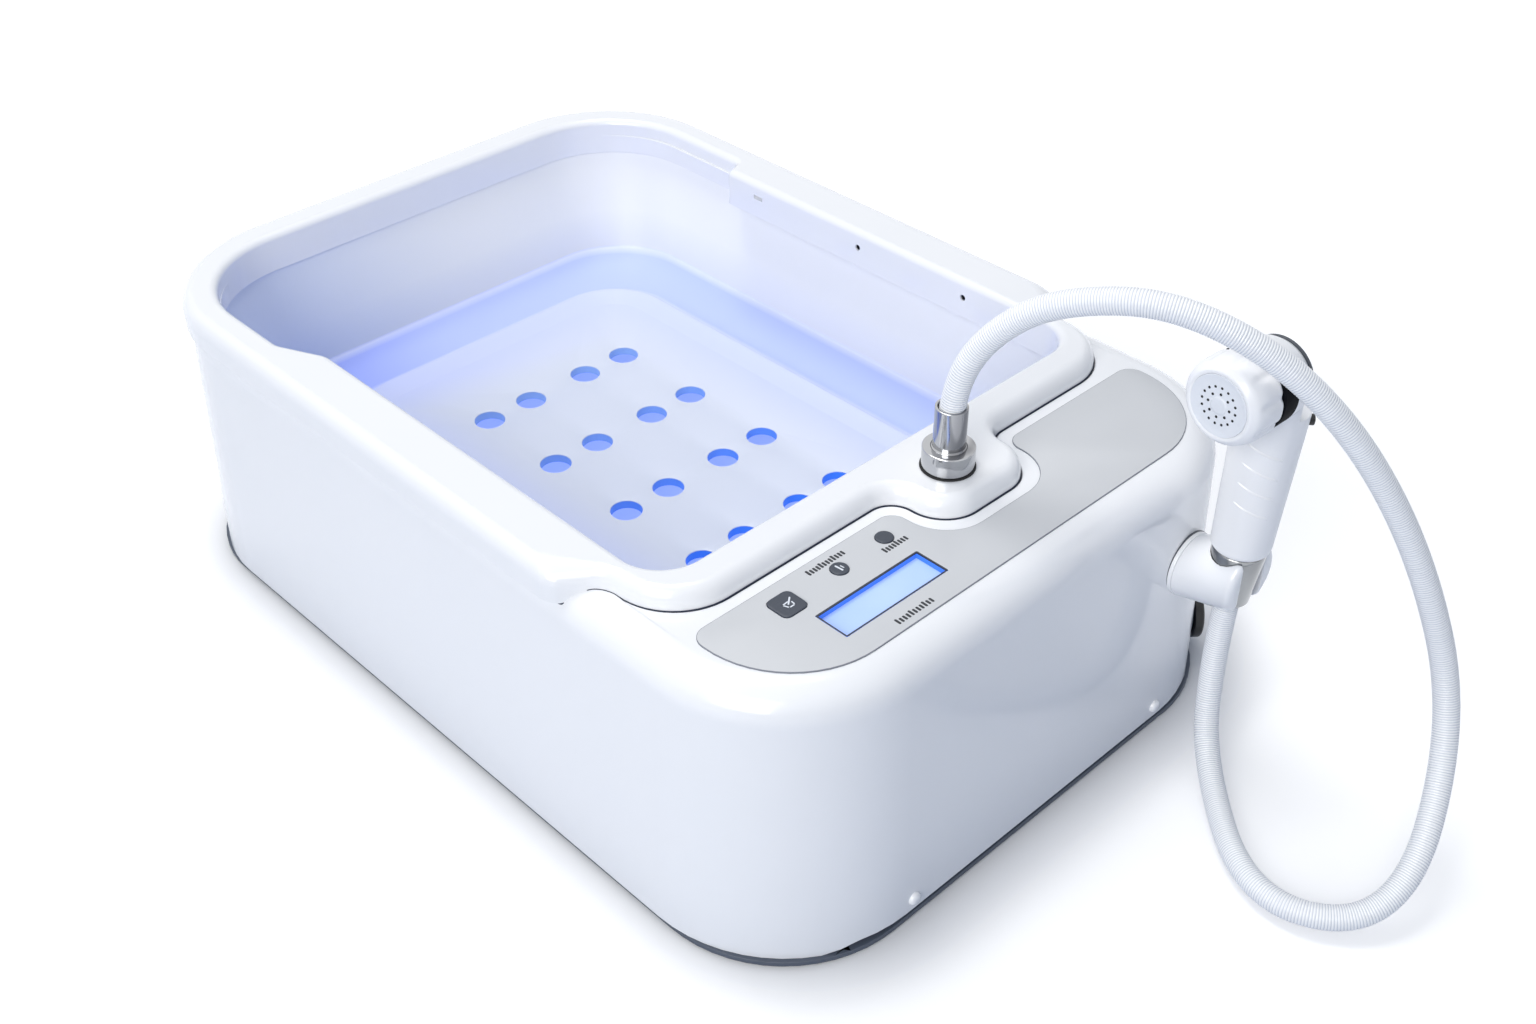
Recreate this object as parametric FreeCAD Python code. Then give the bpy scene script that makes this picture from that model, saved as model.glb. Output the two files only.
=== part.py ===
"""Hydrotherapy basin: casing, rim, liner, foot tray, control deck, pump set, shower hose and handset.

Millimetres. X runs across, Y along with the control end at -Y, Z up from the floor.
"""
import FreeCAD, Part
import math
import os

V = FreeCAD.Vector
UP = V(0, 0, 1)

# Casing
side_width = 34.0
body_length = 603.0
corner_radius = 90.0
deck_top = 187.0
casing_foot = 6.5
foot_flare = 6.0
casing_wall = 3.0
shoulder_radius = 20.0
arch_half = 150.0
arch_slope = 12.0
arch_depth = 20.0
arch_rise = 2.5

# Rim cover
rim_top = 199.0
rim_seat = 178.0
rim_overhang = 3.2
rim_edge = 8.0
rim_inner_edge = 5.0
rim_wall = 6.5
rim_roof = 4.0
rim_gap = 1.0
rim_front = -200.0
rim_step_y = -152.0
rim_step = 23.7
rim_front_radius = 22.0
pod_x = 16.5
pod_half = 39.0
pod_reach = 40.5
pod_root = 16.0
pod_nose = 24.0

# Tub opening, skirt and liner
opening_half = 171.5
opening_front = -175.7
opening_back = 280.0
rail_width = 15.0
rail_corner = 14.0
rail_end = 126.0
rail_step = 32.0
opening_front_radius = 27.0
opening_back_radius = 70.0
skirt_foot = 173.0
skirt_wall = 2.5
skirt_clear = 1.5
liner_wall = 3.0
flange_thick = 3.0
flange_clear = 0.8
ledge_thick = 4.0
ledge_clear = 1.2
ledge_corner = 3.0
flange_front = 5.0
flange_corner = 30.0
heel_lean = 6.0
wall_lean = 15.0
band_top = 100.0
tray_seat = 94.0
seat_width = 12.0
sump_floor = 70.0
seat_corner = 24.0
sump_corner = 20.0

# Foot tray
tray_side = 45.0
tray_front = -148.5
tray_back = 212.5
tray_top = 97.0
tray_lip = 100.5
tray_lip_width = 2.5
tray_edge = 1.5
tray_dish = 15.0
tray_radius = 45.0
tray_margin = 3.5
tray_hole = 20.5
hole_pair = 35.2
hole_middle = 47.8
hole_rows = 4
hole_row_pitch = 70.7
hole_back_row = 128.5

# Base pan and feet
pan_inset = 2.0
pan_under = 1.5
pan_floor = 3.0
pan_rise = 7.0
pan_clear = 0.6
foot_radius = 13.0
foot_inset = 62.0

# Control deck
panel_side = 9.5
panel_front = -281.0
panel_strip = 8.0
panel_thick = 0.8
panel_corner = 10.0
panel_front_corner = 60.0
key_proud = 0.8
key_clear = 0.25
key_travel = 1.0
key_slack = 0.1
key_edge = 0.5
key_corner = 3.0
key_stem = 2.5
square_key = 17.0
square_key_at = (-128.5, -226.0)
round_key = 10.5
heat_key_at = (-52.0, -222.5)
water_key_at = (-88.5, -224.5)
window_size = (76.0, 22.0)
window_at = (-86.5, -253.5)
window_clear = 0.2
window_drop = 0.1
display_margin = (8.0, 7.0)
board_size = (130.0, 62.0)
board_at = (-88.0, -240.0)
board_thick = 1.6
board_top = 173.6
switch_rise = 0.4
switch_radius = 3.2
post_radius = 3.0
post_inset = 4.0

# Hose fitting on the pod
fitting_x = 10.0
fitting_y = -212.0
spigot_radius = 6.0
spigot_bore = 4.0
spigot_clear = 0.25
spigot_drop = 25.0
riser_grip = 15.0
gasket_radius = 15.6
gasket_thick = 1.0
nut_radius = 15.0
nut_height = 10.5
nut_chamfer = 1.2
groove_at = 6.0
groove_width = 0.8
groove_depth = 0.7
ferrule_radius = 9.3
ferrule_height = 28.0
ferrule_edge = 0.8
bead_proud = 0.8
bead_height = 1.6
hose_socket = 15.0
hose_clear = 0.1
backnut_radius = 11.0
backnut_height = 5.0

# Shower hose: corners of its route, chosen by hand
hose_radius = 7.4
hose_rib_depth = 0.7
hose_bore = 4.6
hose_ribs = 110
rib_rise = 0.2
rib_crest = 0.7
rib_fall = 0.9
bend_share = 0.45
hose_route = [
    (10, -212, 223.5), (10, -212, 251), (20.5, -223.5, 283), (33, -256, 313.5), (56, -318, 328),
    (97.5, -380.5, 285), (140, -428, 193), (159.5, -467, 80), (67, -502, 13), (22.5, -435, 9),
    (101, -350, 9), (123.2, -332.4, 66), (125, -333.5, 111.3),
]

# Handset, in its own frame: origin under the handle, Z up the handle, spray towards -X
grip_x = 125.0
grip_y = -334.8
grip_z = 149.8
grip_tilt = 2.0
grip_yaw = -4.0
handle_foot_radius = 17.3
handle_top_radius = 19.8
handle_length = 91.0
handle_edge = 3.0
head_height = 118.7
head_radius = 22.8
head_back_radius = 20.2
head_back = -4.0
head_front = 9.5
neck_radius = 14.0
neck_reach = 9.0
band_width = 20.9
band_radius = 23.8
band_edge = 0.6
barrel_land = 1.0
collar_length = 23.5
collar_radius = 24.6
collar_flutes = 10
collar_land = 4.0
flute_margin = 5.0
flute_radius = 9.0
flute_depth = 1.3
face_radius = 17.6
face_recess = 3.6
face_thick = 3.2
face_boss = 4.4
spray_hole = 1.4
outer_holes = 16
outer_ring = 10.6
inner_holes = 8
inner_ring = 6.2
boss_rise = 0.4
boss_edge = 0.6
cap_rise = 3.0
trim_width = 2.2
trim_proud = 0.6
trim_edge = 0.5
ridge_count = 4
ridge_pitch = 13.5
ridge_first = 36.0
ridge_half = 15.0
ridge_width = 2.0
ridge_proud = 0.6
ridge_bearing = 32.0
stop_radius = 3.2
stop_travel = 1.5
stop_height = 88.5
stop_depth = 6.0
stop_proud = 3.0
stop_bearing = -45.0
shoulder_slope = 0.15
way_shift = 8.5
way_drop = 8.0
way_bore = 3.0
shoulder_edge = 2.5
turn_gap = 0.3
run_clear = 0.05
cone_top_radius = 15.6
cone_foot_radius = 12.0
cone_length = 38.0
cone_land = 3.0
cone_edge = 0.8
tail_radius = 7.5
tail_length = 11.0

# Holder
holder_z = 119.2
holder_radius = 20.0
holder_reach = 12.0
holder_rise = 17.0
holder_slot = 13.0
holder_nose = 5.0
cone_clear = 0.2
plate_thick = 2.5
plate_radius = 20.2
screw_shift = 1.5
screw_x = grip_x + screw_shift
screw_radius = 2.0
screw_head = 3.8
screw_head_thick = 2.4
screw_seat = 6.0
screw_past = 4.0
seat_run = 9.0

# Small fittings
plug_x = 109.5
plug_z = 17.0
plug_radius = 4.2
plug_proud = 3.0
plug_stem = 0.6
plug_dome = 0.4
plug_grip = 4.0
jet_ys = (9.6, -84.2)
jet_z = 186.7
jet_radius = 3.0
jet_bore = 1.6
jet_inset = 0.4
slot_y = 107.0
slot_size = (9.0, 3.2)
drain_angle = 48.0
drain_z = 27.5
port_radius = 7.5
port_wall = 2.0
port_root = 12.0
port_flange = 12.0
port_proud = 1.6
cap_radius = 16.0
cap_thick = 6.0
cap_edge = 2.0
cap_grip = (24.0, 5.0, 2.0)
cap_stem = 9.0
inlet_y = -140.0
inlet_z = 62.0
inlet_size = (56.0, 32.0)
inlet_body = (48.0, 26.0)
inlet_flange = 3.0
inlet_lap = 4.0
inlet_depth = 28.0
socket_size = (22.0, 16.0)
socket_depth = 16.0
socket_y = -9.0
pin_size = (14.0, 4.0, 2.0)
pin_pitch = 6.0
rocker_size = (13.0, 19.0)
rocker_y = 15.0
rocker_depth = 4.0
rocker_barrel = 4.0
rocker_low = (5.4, 8.6)
rocker_middle = 6.8
rocker_high = (8.0, 8.1)
rocker_pocket = 12.0
rocker_clear = 0.3
rocker_swing = 1.0

# Pump set
pump_axis_z = 42.0
pump_radius = 32.0
pump_width = 40.0
pump_edge = 3.0
motor_radius = 27.0
motor_length = 70.0
motor_edge = 4.0
stub_radius = 8.0
stub_length = 10.0
stub_wall = 2.0
stub_gap = 1.0
pipe_wall = 2.5
pipe_clear = 0.1
suction_y = -90.0
suction_bend = 22.0
drain_at = (100.0, -100.0)
drain_bend = 20.0
drain_grip = 7.0
cradle_half = 24.0
cradle_drop = 12.0
cradle_inset = 6.0
motor_saddle_at = 20.0
motor_saddle = 38.0
heater_size = (150.0, 110.0, 6.0)
heater_y = 60.0
thermostat_radius = 9.0
thermostat_rise = 8.0
strip_thick = 2.5
strip_foot = 76.0
strip_height = 8.0

# Worked out from the driving dimensions
half_width = opening_half + side_width
half_length = body_length / 2
rim_half = half_width + rim_overhang
rim_back = half_length + rim_overhang
rim_radius = corner_radius + rim_overhang
rim_step_x = rim_half - rim_step
rim_step_outer = 0.4 * rim_step
rim_step_inner = 0.55 * rim_step
far_half = opening_half + rail_width
tray_half = opening_half - tray_side
panel_half = opening_half + panel_side
liner_half = far_half + skirt_wall + skirt_clear
liner_front = opening_front - skirt_wall - skirt_clear
liner_back = opening_back + skirt_wall + skirt_clear
liner_back_radius = opening_back_radius + skirt_wall + skirt_clear
seat_half = tray_half + tray_margin
seat_front = tray_front - tray_margin
seat_back = tray_back + tray_margin
sump_half = seat_half - seat_width
sump_front = seat_front + seat_width
sump_back = seat_back - seat_width
sump_under = sump_floor - liner_wall
pan_top = pan_under + pan_floor
fitting = V(fitting_x, fitting_y, rim_top)


def flare_at(z):
    """How far the drafted casing wall stands outside its size at the deck."""
    return foot_flare * (deck_top - z) / (deck_top - casing_foot)


def outline(corners, z):
    """Closed wire through corners (x, y, radius), each rounded by a tangent arc."""
    count = len(corners)
    stretches = []
    for i in range(count):
        x, y, radius = corners[i]
        here = V(x, y, z)
        before = V(corners[i - 1][0], corners[i - 1][1], z) - here
        after = V(corners[(i + 1) % count][0], corners[(i + 1) % count][1], z) - here
        before.normalize()
        after.normalize()
        half = before.getAngle(after) / 2
        middle = before + after
        middle.normalize()
        reach = radius / math.tan(half)
        top = here + middle * (radius / math.sin(half) - radius)
        stretches.append((here + before * reach, top, here + after * reach))
    edges = []
    for i in range(count):
        start, top, end = stretches[i]
        edges.append(Part.Arc(start, top, end).toShape())
        following = stretches[(i + 1) % count][0]
        if end.distanceToPoint(following) > 1e-6:
            edges.append(Part.makeLine(end, following))
    return Part.Wire(edges)


def rounded(half, front, back, front_radius, back_radius, z):
    """Rounded rectangle, centred across, with its own radius at the front and the back corners."""
    corners = [
        (half, front, front_radius), (half, back, back_radius),
        (-half, back, back_radius), (-half, front, front_radius),
    ]
    return outline(corners, z)


def prism(wire, height):
    """Solid of a flat wire, raised by height."""
    return Part.Face(wire).extrude(UP * height)


def widened(wire, amount, height):
    """Solid of a flat wire grown by amount (or shrunk, if negative), raised by height."""
    return Part.Face(wire).makeOffset2D(amount).extrude(UP * height)


def ruled(*wires):
    """Ruled solid through wires."""
    return Part.makeLoft(list(wires), True, True)


def rod(base, axis, radius, length):
    """Cylinder from base along axis."""
    return Part.makeCylinder(radius, length, base, axis)


def sleeve(base, axis, outer, inner, length):
    """Tube from base along axis."""
    return rod(base, axis, outer, length).cut(rod(base, axis, inner, length))


def box(size, centre, z):
    """Box with its footprint centred on a point and its foot at height z."""
    corner = V(centre[0] - size[0] / 2, centre[1] - size[1] / 2, z)
    return Part.makeBox(size[0], size[1], size[2], corner)


def turned(points):
    """Solid of revolution about Z of a closed outline of (radius, height)."""
    wire = Part.makePolygon([V(r, 0, z) for r, z in points + points[:1]])
    return Part.Face(wire).revolve(V(0, 0, 0), UP, 360)


def edges_on(shape, wire):
    """Edges of shape that lie on a wire."""
    found = []
    for edge in shape.Edges:
        middle = edge.valueAt((edge.FirstParameter + edge.LastParameter) / 2)
        if wire.distToShape(Part.Vertex(middle))[0] < 1e-4:
            found.append(edge)
    return found


def rim_outline(z):
    """Plan of the rim cover: wide at the tub, stepped in at the deck, with the hose pod."""
    pod_front = rim_front - pod_reach
    corners = [
        (rim_half, rim_step_y, rim_step_outer), (rim_half, rim_back, rim_radius),
        (-rim_half, rim_back, rim_radius), (-rim_half, rim_step_y, rim_step_outer),
        (-rim_step_x, rim_step_y, rim_step_inner), (-rim_step_x, rim_front, rim_front_radius),
        (pod_x - pod_half, rim_front, pod_root), (pod_x - pod_half, pod_front, pod_nose),
        (pod_x + pod_half, pod_front, pod_nose), (pod_x + pod_half, rim_front, pod_root),
        (rim_step_x, rim_front, rim_front_radius), (rim_step_x, rim_step_y, rim_step_inner),
    ]
    return outline(corners, z)


def opening_outline(z):
    """Plan of the tub opening: narrower between the side rails than at the far end."""
    far_start = rail_end + rail_step
    corners = [
        (opening_half, opening_front, opening_front_radius), (opening_half, rail_end, rail_corner),
        (far_half, far_start, rail_corner), (far_half, opening_back, opening_back_radius),
        (-far_half, opening_back, opening_back_radius), (-far_half, far_start, rail_corner),
        (-opening_half, rail_end, rail_corner), (-opening_half, opening_front, opening_front_radius),
    ]
    return outline(corners, z)


def casing_block(inset):
    """Drafted body of the casing, set in by inset, with its rounded shoulder."""
    top = deck_top - inset
    wires = []
    for z in (casing_foot - 2 * inset, top):
        spread = flare_at(z) - inset
        radius = corner_radius + spread
        end = half_length + spread
        wires.append(rounded(half_width + spread, -end, end, radius, radius, z))
    block = ruled(*wires)
    return block.makeFillet(shoulder_radius - inset, edges_on(block, wires[1]))


def key_places():
    """The three keys, as (name, centre, is round)."""
    return [
        ("menu_key", square_key_at, False),
        ("heat_key", heat_key_at, True),
        ("water_key", water_key_at, True),
    ]


def key_prism(centre, is_round, grow, z, height):
    """Plan of a key, grown by a clearance."""
    if is_round:
        return rod(V(centre[0], centre[1], z), UP, round_key / 2 + grow, height)
    half = square_key / 2 + grow
    places = [(half, -half), (half, half), (-half, half), (-half, -half)]
    corners = [(x + centre[0], y + centre[1], key_corner) for x, y in places]
    return prism(outline(corners, z), height)


def deck_cuts(grow, z, height):
    """Openings for the display window and the keys."""
    window = (window_size[0] + 2 * window_clear, window_size[1] + 2 * window_clear, height)
    cuts = [box(window, window_at, z)]
    for name, centre, is_round in key_places():
        cuts.append(key_prism(centre, is_round, grow, z, height))
    return cuts


def drain_frame():
    """Point on the wall and outward direction of the drain at the front right corner."""
    spread = flare_at(drain_z)
    radius = corner_radius + spread
    centre = V(half_width + spread - radius, -half_length - spread + radius, drain_z)
    angle = math.radians(drain_angle)
    outward = V(math.sin(angle), -math.cos(angle), 0)
    return centre + outward * radius, outward


def make_casing(block):
    """Shell with the deck, a ledge for the liner and openings for what passes through it."""
    shell = block.cut(casing_block(casing_wall))
    ledge_z = rim_seat - flange_thick - ledge_thick
    ring = prism(rounded(half_width + foot_flare, rim_front + ledge_corner, half_length + foot_flare,
                         ledge_corner, corner_radius, ledge_z), ledge_thick)
    clear = liner_wall + ledge_clear
    hole = prism(rounded(liner_half + clear, liner_front - clear, liner_back + clear,
                         opening_front_radius + clear, liner_back_radius + clear, ledge_z), ledge_thick)
    shell = shell.fuse(ring.cut(hole).common(block)).removeSplitter()
    shell = shell.cut(widened(rim_outline(rim_seat), rim_gap, deck_top))
    wide = arch_half + arch_slope
    arch_top = casing_foot + arch_rise
    back = arch_depth / 2 - half_length
    arch = Part.makePolygon([V(-wide, back, casing_foot), V(wide, back, casing_foot),
                             V(arch_half, back, arch_top), V(-arch_half, back, arch_top),
                             V(-wide, back, casing_foot)])
    arch_cut = Part.Face(arch).extrude(V(0, -arch_depth, 0))
    cuts = [arch_cut] + deck_cuts(key_clear, deck_top - 2 * casing_wall, 3 * casing_wall)
    wall, outward = drain_frame()
    cuts.append(rod(wall - outward * port_root, outward, port_radius, 2 * port_root))
    for side in (-1, 1):
        start = V(side * plug_x, -half_length - 2 * foot_flare, plug_z)
        cuts.append(rod(start, V(0, 1, 0), plug_radius * plug_stem, 3 * foot_flare))
    screw_start = V(screw_x, -half_length - foot_flare, holder_z)
    cuts.append(rod(screw_start, V(0, 1, 0), screw_radius, 3 * foot_flare))
    body = Part.makeBox(3 * foot_flare, inlet_body[0], inlet_body[1],
                        V(half_width - foot_flare, inlet_y - inlet_body[0] / 2, inlet_z - inlet_body[1] / 2))
    return shell.cut(cuts + [body])


def make_rim():
    """Rim cover: rounded ledge with a skirt, side rails, jet holes and the hose pod."""
    outer = rim_outline(rim_seat)
    slab = prism(outer, rim_top - rim_seat)
    slab = slab.makeFillet(rim_edge, edges_on(slab, rim_outline(rim_top)))
    skirt_half = far_half + skirt_wall
    skirt = prism(rounded(skirt_half, opening_front - skirt_wall, opening_back + skirt_wall,
                          opening_front_radius + skirt_wall, opening_back_radius + skirt_wall, skirt_foot),
                  rim_seat - skirt_foot)
    rim = slab.fuse(skirt).removeSplitter()
    rim = rim.cut(prism(opening_outline(skirt_foot - 1), rim_top))
    rim = rim.makeFillet(rim_inner_edge, edges_on(rim, opening_outline(rim_top)))
    depth = rim_top - rim_roof - rim_seat
    channel = widened(outer, -rim_wall, depth).cut(widened(opening_outline(rim_seat), rim_wall, depth))
    rim = rim.cut(channel)
    cuts = [rod(fitting - UP * spigot_drop, UP, spigot_radius + spigot_clear, 2 * spigot_drop)]
    for side in (-1, 1):
        start = V(side * (opening_half - 1), 0, jet_z)
        for y in jet_ys:
            cuts.append(rod(start + V(0, y, 0), V(side, 0, 0), jet_radius, rim_wall))
        cuts.append(box((rim_wall * 2, slot_size[0], slot_size[1]), (side * opening_half, slot_y), jet_z))
    return rim.cut(cuts)


def liner_cavity(grow, drop):
    """Inside of the tub, or its outside when grown by the wall."""
    top = rounded(liner_half + grow, liner_front - grow, liner_back + grow,
                  opening_front_radius + grow, liner_back_radius + grow, rim_seat)
    lean = wall_lean - grow
    band = rounded(liner_half - lean, liner_front + lean, liner_back - lean - heel_lean,
                   opening_front_radius + grow, liner_back_radius - wall_lean + grow, band_top - drop)
    seat = rounded(seat_half + grow, seat_front - grow, seat_back + grow, seat_corner + grow,
                   tray_radius + tray_margin + grow, tray_seat - drop)
    sump = rounded(sump_half + grow, sump_front - grow, sump_back + grow, sump_corner + grow,
                   tray_radius - tray_margin + grow, sump_floor - drop)
    return ruled(top, band).fuse([ruled(band, seat), prism(sump, tray_seat - sump_floor)]).removeSplitter()


def shoulder_inset(z):
    """How far the rounded shoulder has come in from the wall, on the inside of the casing."""
    radius = shoulder_radius - casing_wall
    rise = z - (deck_top - casing_wall - radius)
    return radius - math.sqrt(radius ** 2 - rise ** 2)


def make_liner():
    """Tub liner: flange, leaning wall, lit band, tray seat and sump, with the suction hole."""
    inset = casing_wall + shoulder_inset(rim_seat) + flange_clear - flare_at(rim_seat)
    flange = prism(rounded(half_width - inset, rim_front + flange_front, half_length - inset, flange_corner,
                           corner_radius - inset, rim_seat - flange_thick), flange_thick)
    liner = liner_cavity(liner_wall, liner_wall).fuse(flange).removeSplitter()
    liner = liner.cut(liner_cavity(0, 0))
    suction = rod(V(fitting_x, suction_y, sump_under - 1), UP, stub_radius - pipe_wall, liner_wall + 2)
    drain = rod(V(*drain_at, sump_under - 1), UP, port_radius - pipe_wall, liner_wall + 2)
    return liner.cut([suction, drain])


def make_tray():
    """Perforated tray with a dished edge."""
    def plan(inset, z):
        return rounded(tray_half - inset, tray_front + inset, tray_back - inset, seat_corner - inset / 2,
                       tray_radius - inset, z)
    tray = prism(plan(0, tray_seat), tray_lip - tray_seat)
    tray = tray.makeFillet(tray_edge, edges_on(tray, plan(0, tray_lip)))
    tray = tray.cut(ruled(plan(tray_dish + tray_lip_width, tray_top), plan(tray_lip_width, tray_lip)))
    across = [hole_middle / 2, hole_middle / 2 + hole_pair]
    holes = []
    for row in range(hole_rows):
        y = hole_back_row - row * hole_row_pitch
        for x in across + [-value for value in across]:
            holes.append(rod(V(x, y, tray_seat - 1), UP, tray_hole / 2, 2 * (tray_lip - tray_seat)))
    return tray.cut(holes)


def make_pan():
    """Dark base pan: a foot flange under the casing and a rim that plugs into it."""
    spread = flare_at(casing_foot)

    def plan(inset, z):
        radius = corner_radius + spread - inset
        return rounded(half_width + spread - inset, -half_length - spread + inset,
                       half_length + spread - inset, radius, radius, z)
    inside = casing_wall + pan_clear
    pan = prism(plan(pan_inset, pan_under), casing_foot - pan_under)
    pan = pan.fuse(prism(plan(inside, casing_foot), pan_rise)).removeSplitter()
    return pan.cut(prism(plan(inside + casing_wall, pan_top), casing_foot + pan_rise))


def make_feet():
    """Four rubber feet under the pan."""
    feet = []
    for x in (-1, 1):
        for y in (-1, 1):
            place = V(x * (half_width - foot_inset), y * (half_length - foot_inset), 0)
            feet.append(rod(place, UP, foot_radius, pan_under))
    return Part.makeCompound(feet)


def make_panel():
    """Grey overlay on the deck, shaped round the pod, with openings for window and keys."""
    back = rim_front - rim_gap - panel_strip
    strip = panel_strip + rim_gap
    pod_front = rim_front - pod_reach - strip
    nose = pod_nose + strip / 2
    corners = [
        (panel_half, panel_front, panel_front_corner), (panel_half, back, panel_corner),
        (pod_x + pod_half + strip, back, panel_corner), (pod_x + pod_half + strip, pod_front, nose),
        (pod_x - pod_half - strip, pod_front, nose), (pod_x - pod_half - strip, back, panel_corner),
        (-panel_half, back, panel_corner), (-panel_half, panel_front, panel_front_corner),
    ]
    panel = prism(outline(corners, deck_top), panel_thick)
    return panel.cut(deck_cuts(key_clear, deck_top - 1, casing_wall))


def make_key(centre, is_round):
    """Key cap with a stem that reaches the switch on the board."""
    top = deck_top + panel_thick + key_proud
    foot = deck_top - casing_wall
    cap = key_prism(centre, is_round, 0, foot, top - foot)
    cap = cap.makeFillet(key_edge, [e for e in cap.Edges if min(v.Z for v in e.Vertexes) > top - 1e-6])
    stem_foot = board_top + switch_rise + key_travel + key_slack
    stem = rod(V(centre[0], centre[1], stem_foot), UP, key_stem, foot - stem_foot)
    return cap.fuse(stem).removeSplitter()


def make_board():
    """Control board with its switch pads under the keys."""
    board = box((board_size[0], board_size[1], board_thick), board_at, board_top - board_thick)
    pads = []
    for name, centre, is_round in key_places():
        pads.append(rod(V(*centre, board_top), UP, switch_radius, switch_rise))
    return board.fuse(pads).removeSplitter()


def make_standoffs():
    """Four posts that hang the board from the deck."""
    posts = []
    height = deck_top - casing_wall - board_top
    for x in (-1, 1):
        for y in (-1, 1):
            across = board_at[0] + x * (board_size[0] / 2 - post_inset)
            along = board_at[1] + y * (board_size[1] / 2 - post_inset)
            posts.append(rod(V(across, along, board_top), UP, post_radius, height))
    return Part.makeCompound(posts)


def make_display():
    """Display module between the board and the window."""
    width = window_size[0] + display_margin[0]
    depth = window_size[1] + display_margin[1]
    return box((width, depth, deck_top - casing_wall - board_top), window_at, board_top)


def make_window():
    """Clear window in the deck, on top of the display."""
    foot = deck_top - casing_wall
    return box((window_size[0], window_size[1], casing_wall + panel_thick - window_drop), window_at, foot)


def make_gasket():
    return sleeve(fitting, UP, gasket_radius, spigot_radius + spigot_clear, gasket_thick)


def make_hose_nut():
    """Turned nut at the foot of the hose, with a chamfered top and a groove."""
    z = rim_top + gasket_thick
    bore = spigot_radius
    r = nut_radius
    top = z + nut_height
    groove = z + groove_at
    nut = turned([
        (bore, z), (r, z), (r, groove), (r - groove_depth, groove + groove_width / 2),
        (r, groove + groove_width), (r, top - nut_chamfer), (r - nut_chamfer, top), (bore, top),
    ])
    nut.translate(V(fitting.x, fitting.y, 0))
    return nut


def make_ferrule():
    """Polished ferrule above the nut, bored at the top for the end of the hose."""
    z = rim_top + gasket_thick + nut_height
    r = ferrule_radius
    bore = spigot_radius
    seat = hose_radius + hose_clear
    top = z + ferrule_height
    bead = r + bead_proud
    ferrule = turned([
        (bore, z), (bead, z), (bead, z + bead_height), (r, z + bead_height + bead_proud),
        (r, top - ferrule_edge), (r - ferrule_edge, top), (seat, top), (seat, top - hose_socket),
        (bore, top - hose_socket),
    ])
    ferrule.translate(V(fitting.x, fitting.y, 0))
    return ferrule


def make_spigot():
    """Threaded tube from the riser hose up through the pod into the ferrule."""
    foot = rim_seat - spigot_drop
    top = rim_top + gasket_thick + nut_height + ferrule_height - hose_socket
    return sleeve(V(fitting.x, fitting.y, foot), UP, spigot_radius, spigot_bore, top - foot)


def make_backnut():
    """Hexagon nut that clamps the spigot under the pod."""
    z = rim_top - rim_roof - backnut_height
    points = [V(fitting.x + backnut_radius * math.cos(math.radians(60 * i)),
                fitting.y + backnut_radius * math.sin(math.radians(60 * i)), z) for i in range(7)]
    nut = prism(Part.makePolygon(points), backnut_height)
    return nut.cut(rod(V(fitting.x, fitting.y, z), UP, spigot_radius, backnut_height))


def hose_stretches():
    """Hose route: straight runs, as (kind, start, end, None), and arcs, as (kind, start, turn, frame)."""
    points = [V(*p) for p in hose_route]
    stretches = []
    start = points[0]
    for before, here, after in zip(points, points[1:], points[2:]):
        a = here - before
        b = after - here
        shorter = min(a.Length, b.Length)
        turn = a.getAngle(b)
        reach = bend_share * shorter
        radius = reach / math.tan(turn / 2)
        a.normalize()
        b.normalize()
        begin = here - a * reach
        stretches.append(("run", start, begin, None))
        normal = a.cross(b)
        normal.normalize()
        centre = begin + normal.cross(a) * radius
        stretches.append(("arc", begin, turn, (centre, normal, a)))
        start = here + b * reach
    stretches.append(("run", start, points[-1], None))
    return stretches


def hose_frames(stretches):
    """Function from length along the hose to (place, direction), and the whole length."""
    spans = []
    total = 0.0
    for kind, start, end, data in stretches:
        length = start.distanceToPoint(end) if kind == "run" else end * start.distanceToPoint(data[0])
        spans.append((total, length, kind, start, end, data))
        total += length

    def at(distance):
        span = spans[-1]
        for candidate in spans:
            if distance <= candidate[0] + candidate[1]:
                span = candidate
                break
        begin, length, kind, start, end, data = span
        share = (distance - begin) / length
        if kind == "run":
            direction = end - start
            direction.normalize()
            return start + direction * (distance - begin), direction
        centre, normal, tangent = data
        spin = FreeCAD.Rotation(normal, math.degrees(end * share))
        return centre + spin.multVec(start - centre), spin.multVec(tangent)
    return at, total


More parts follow.
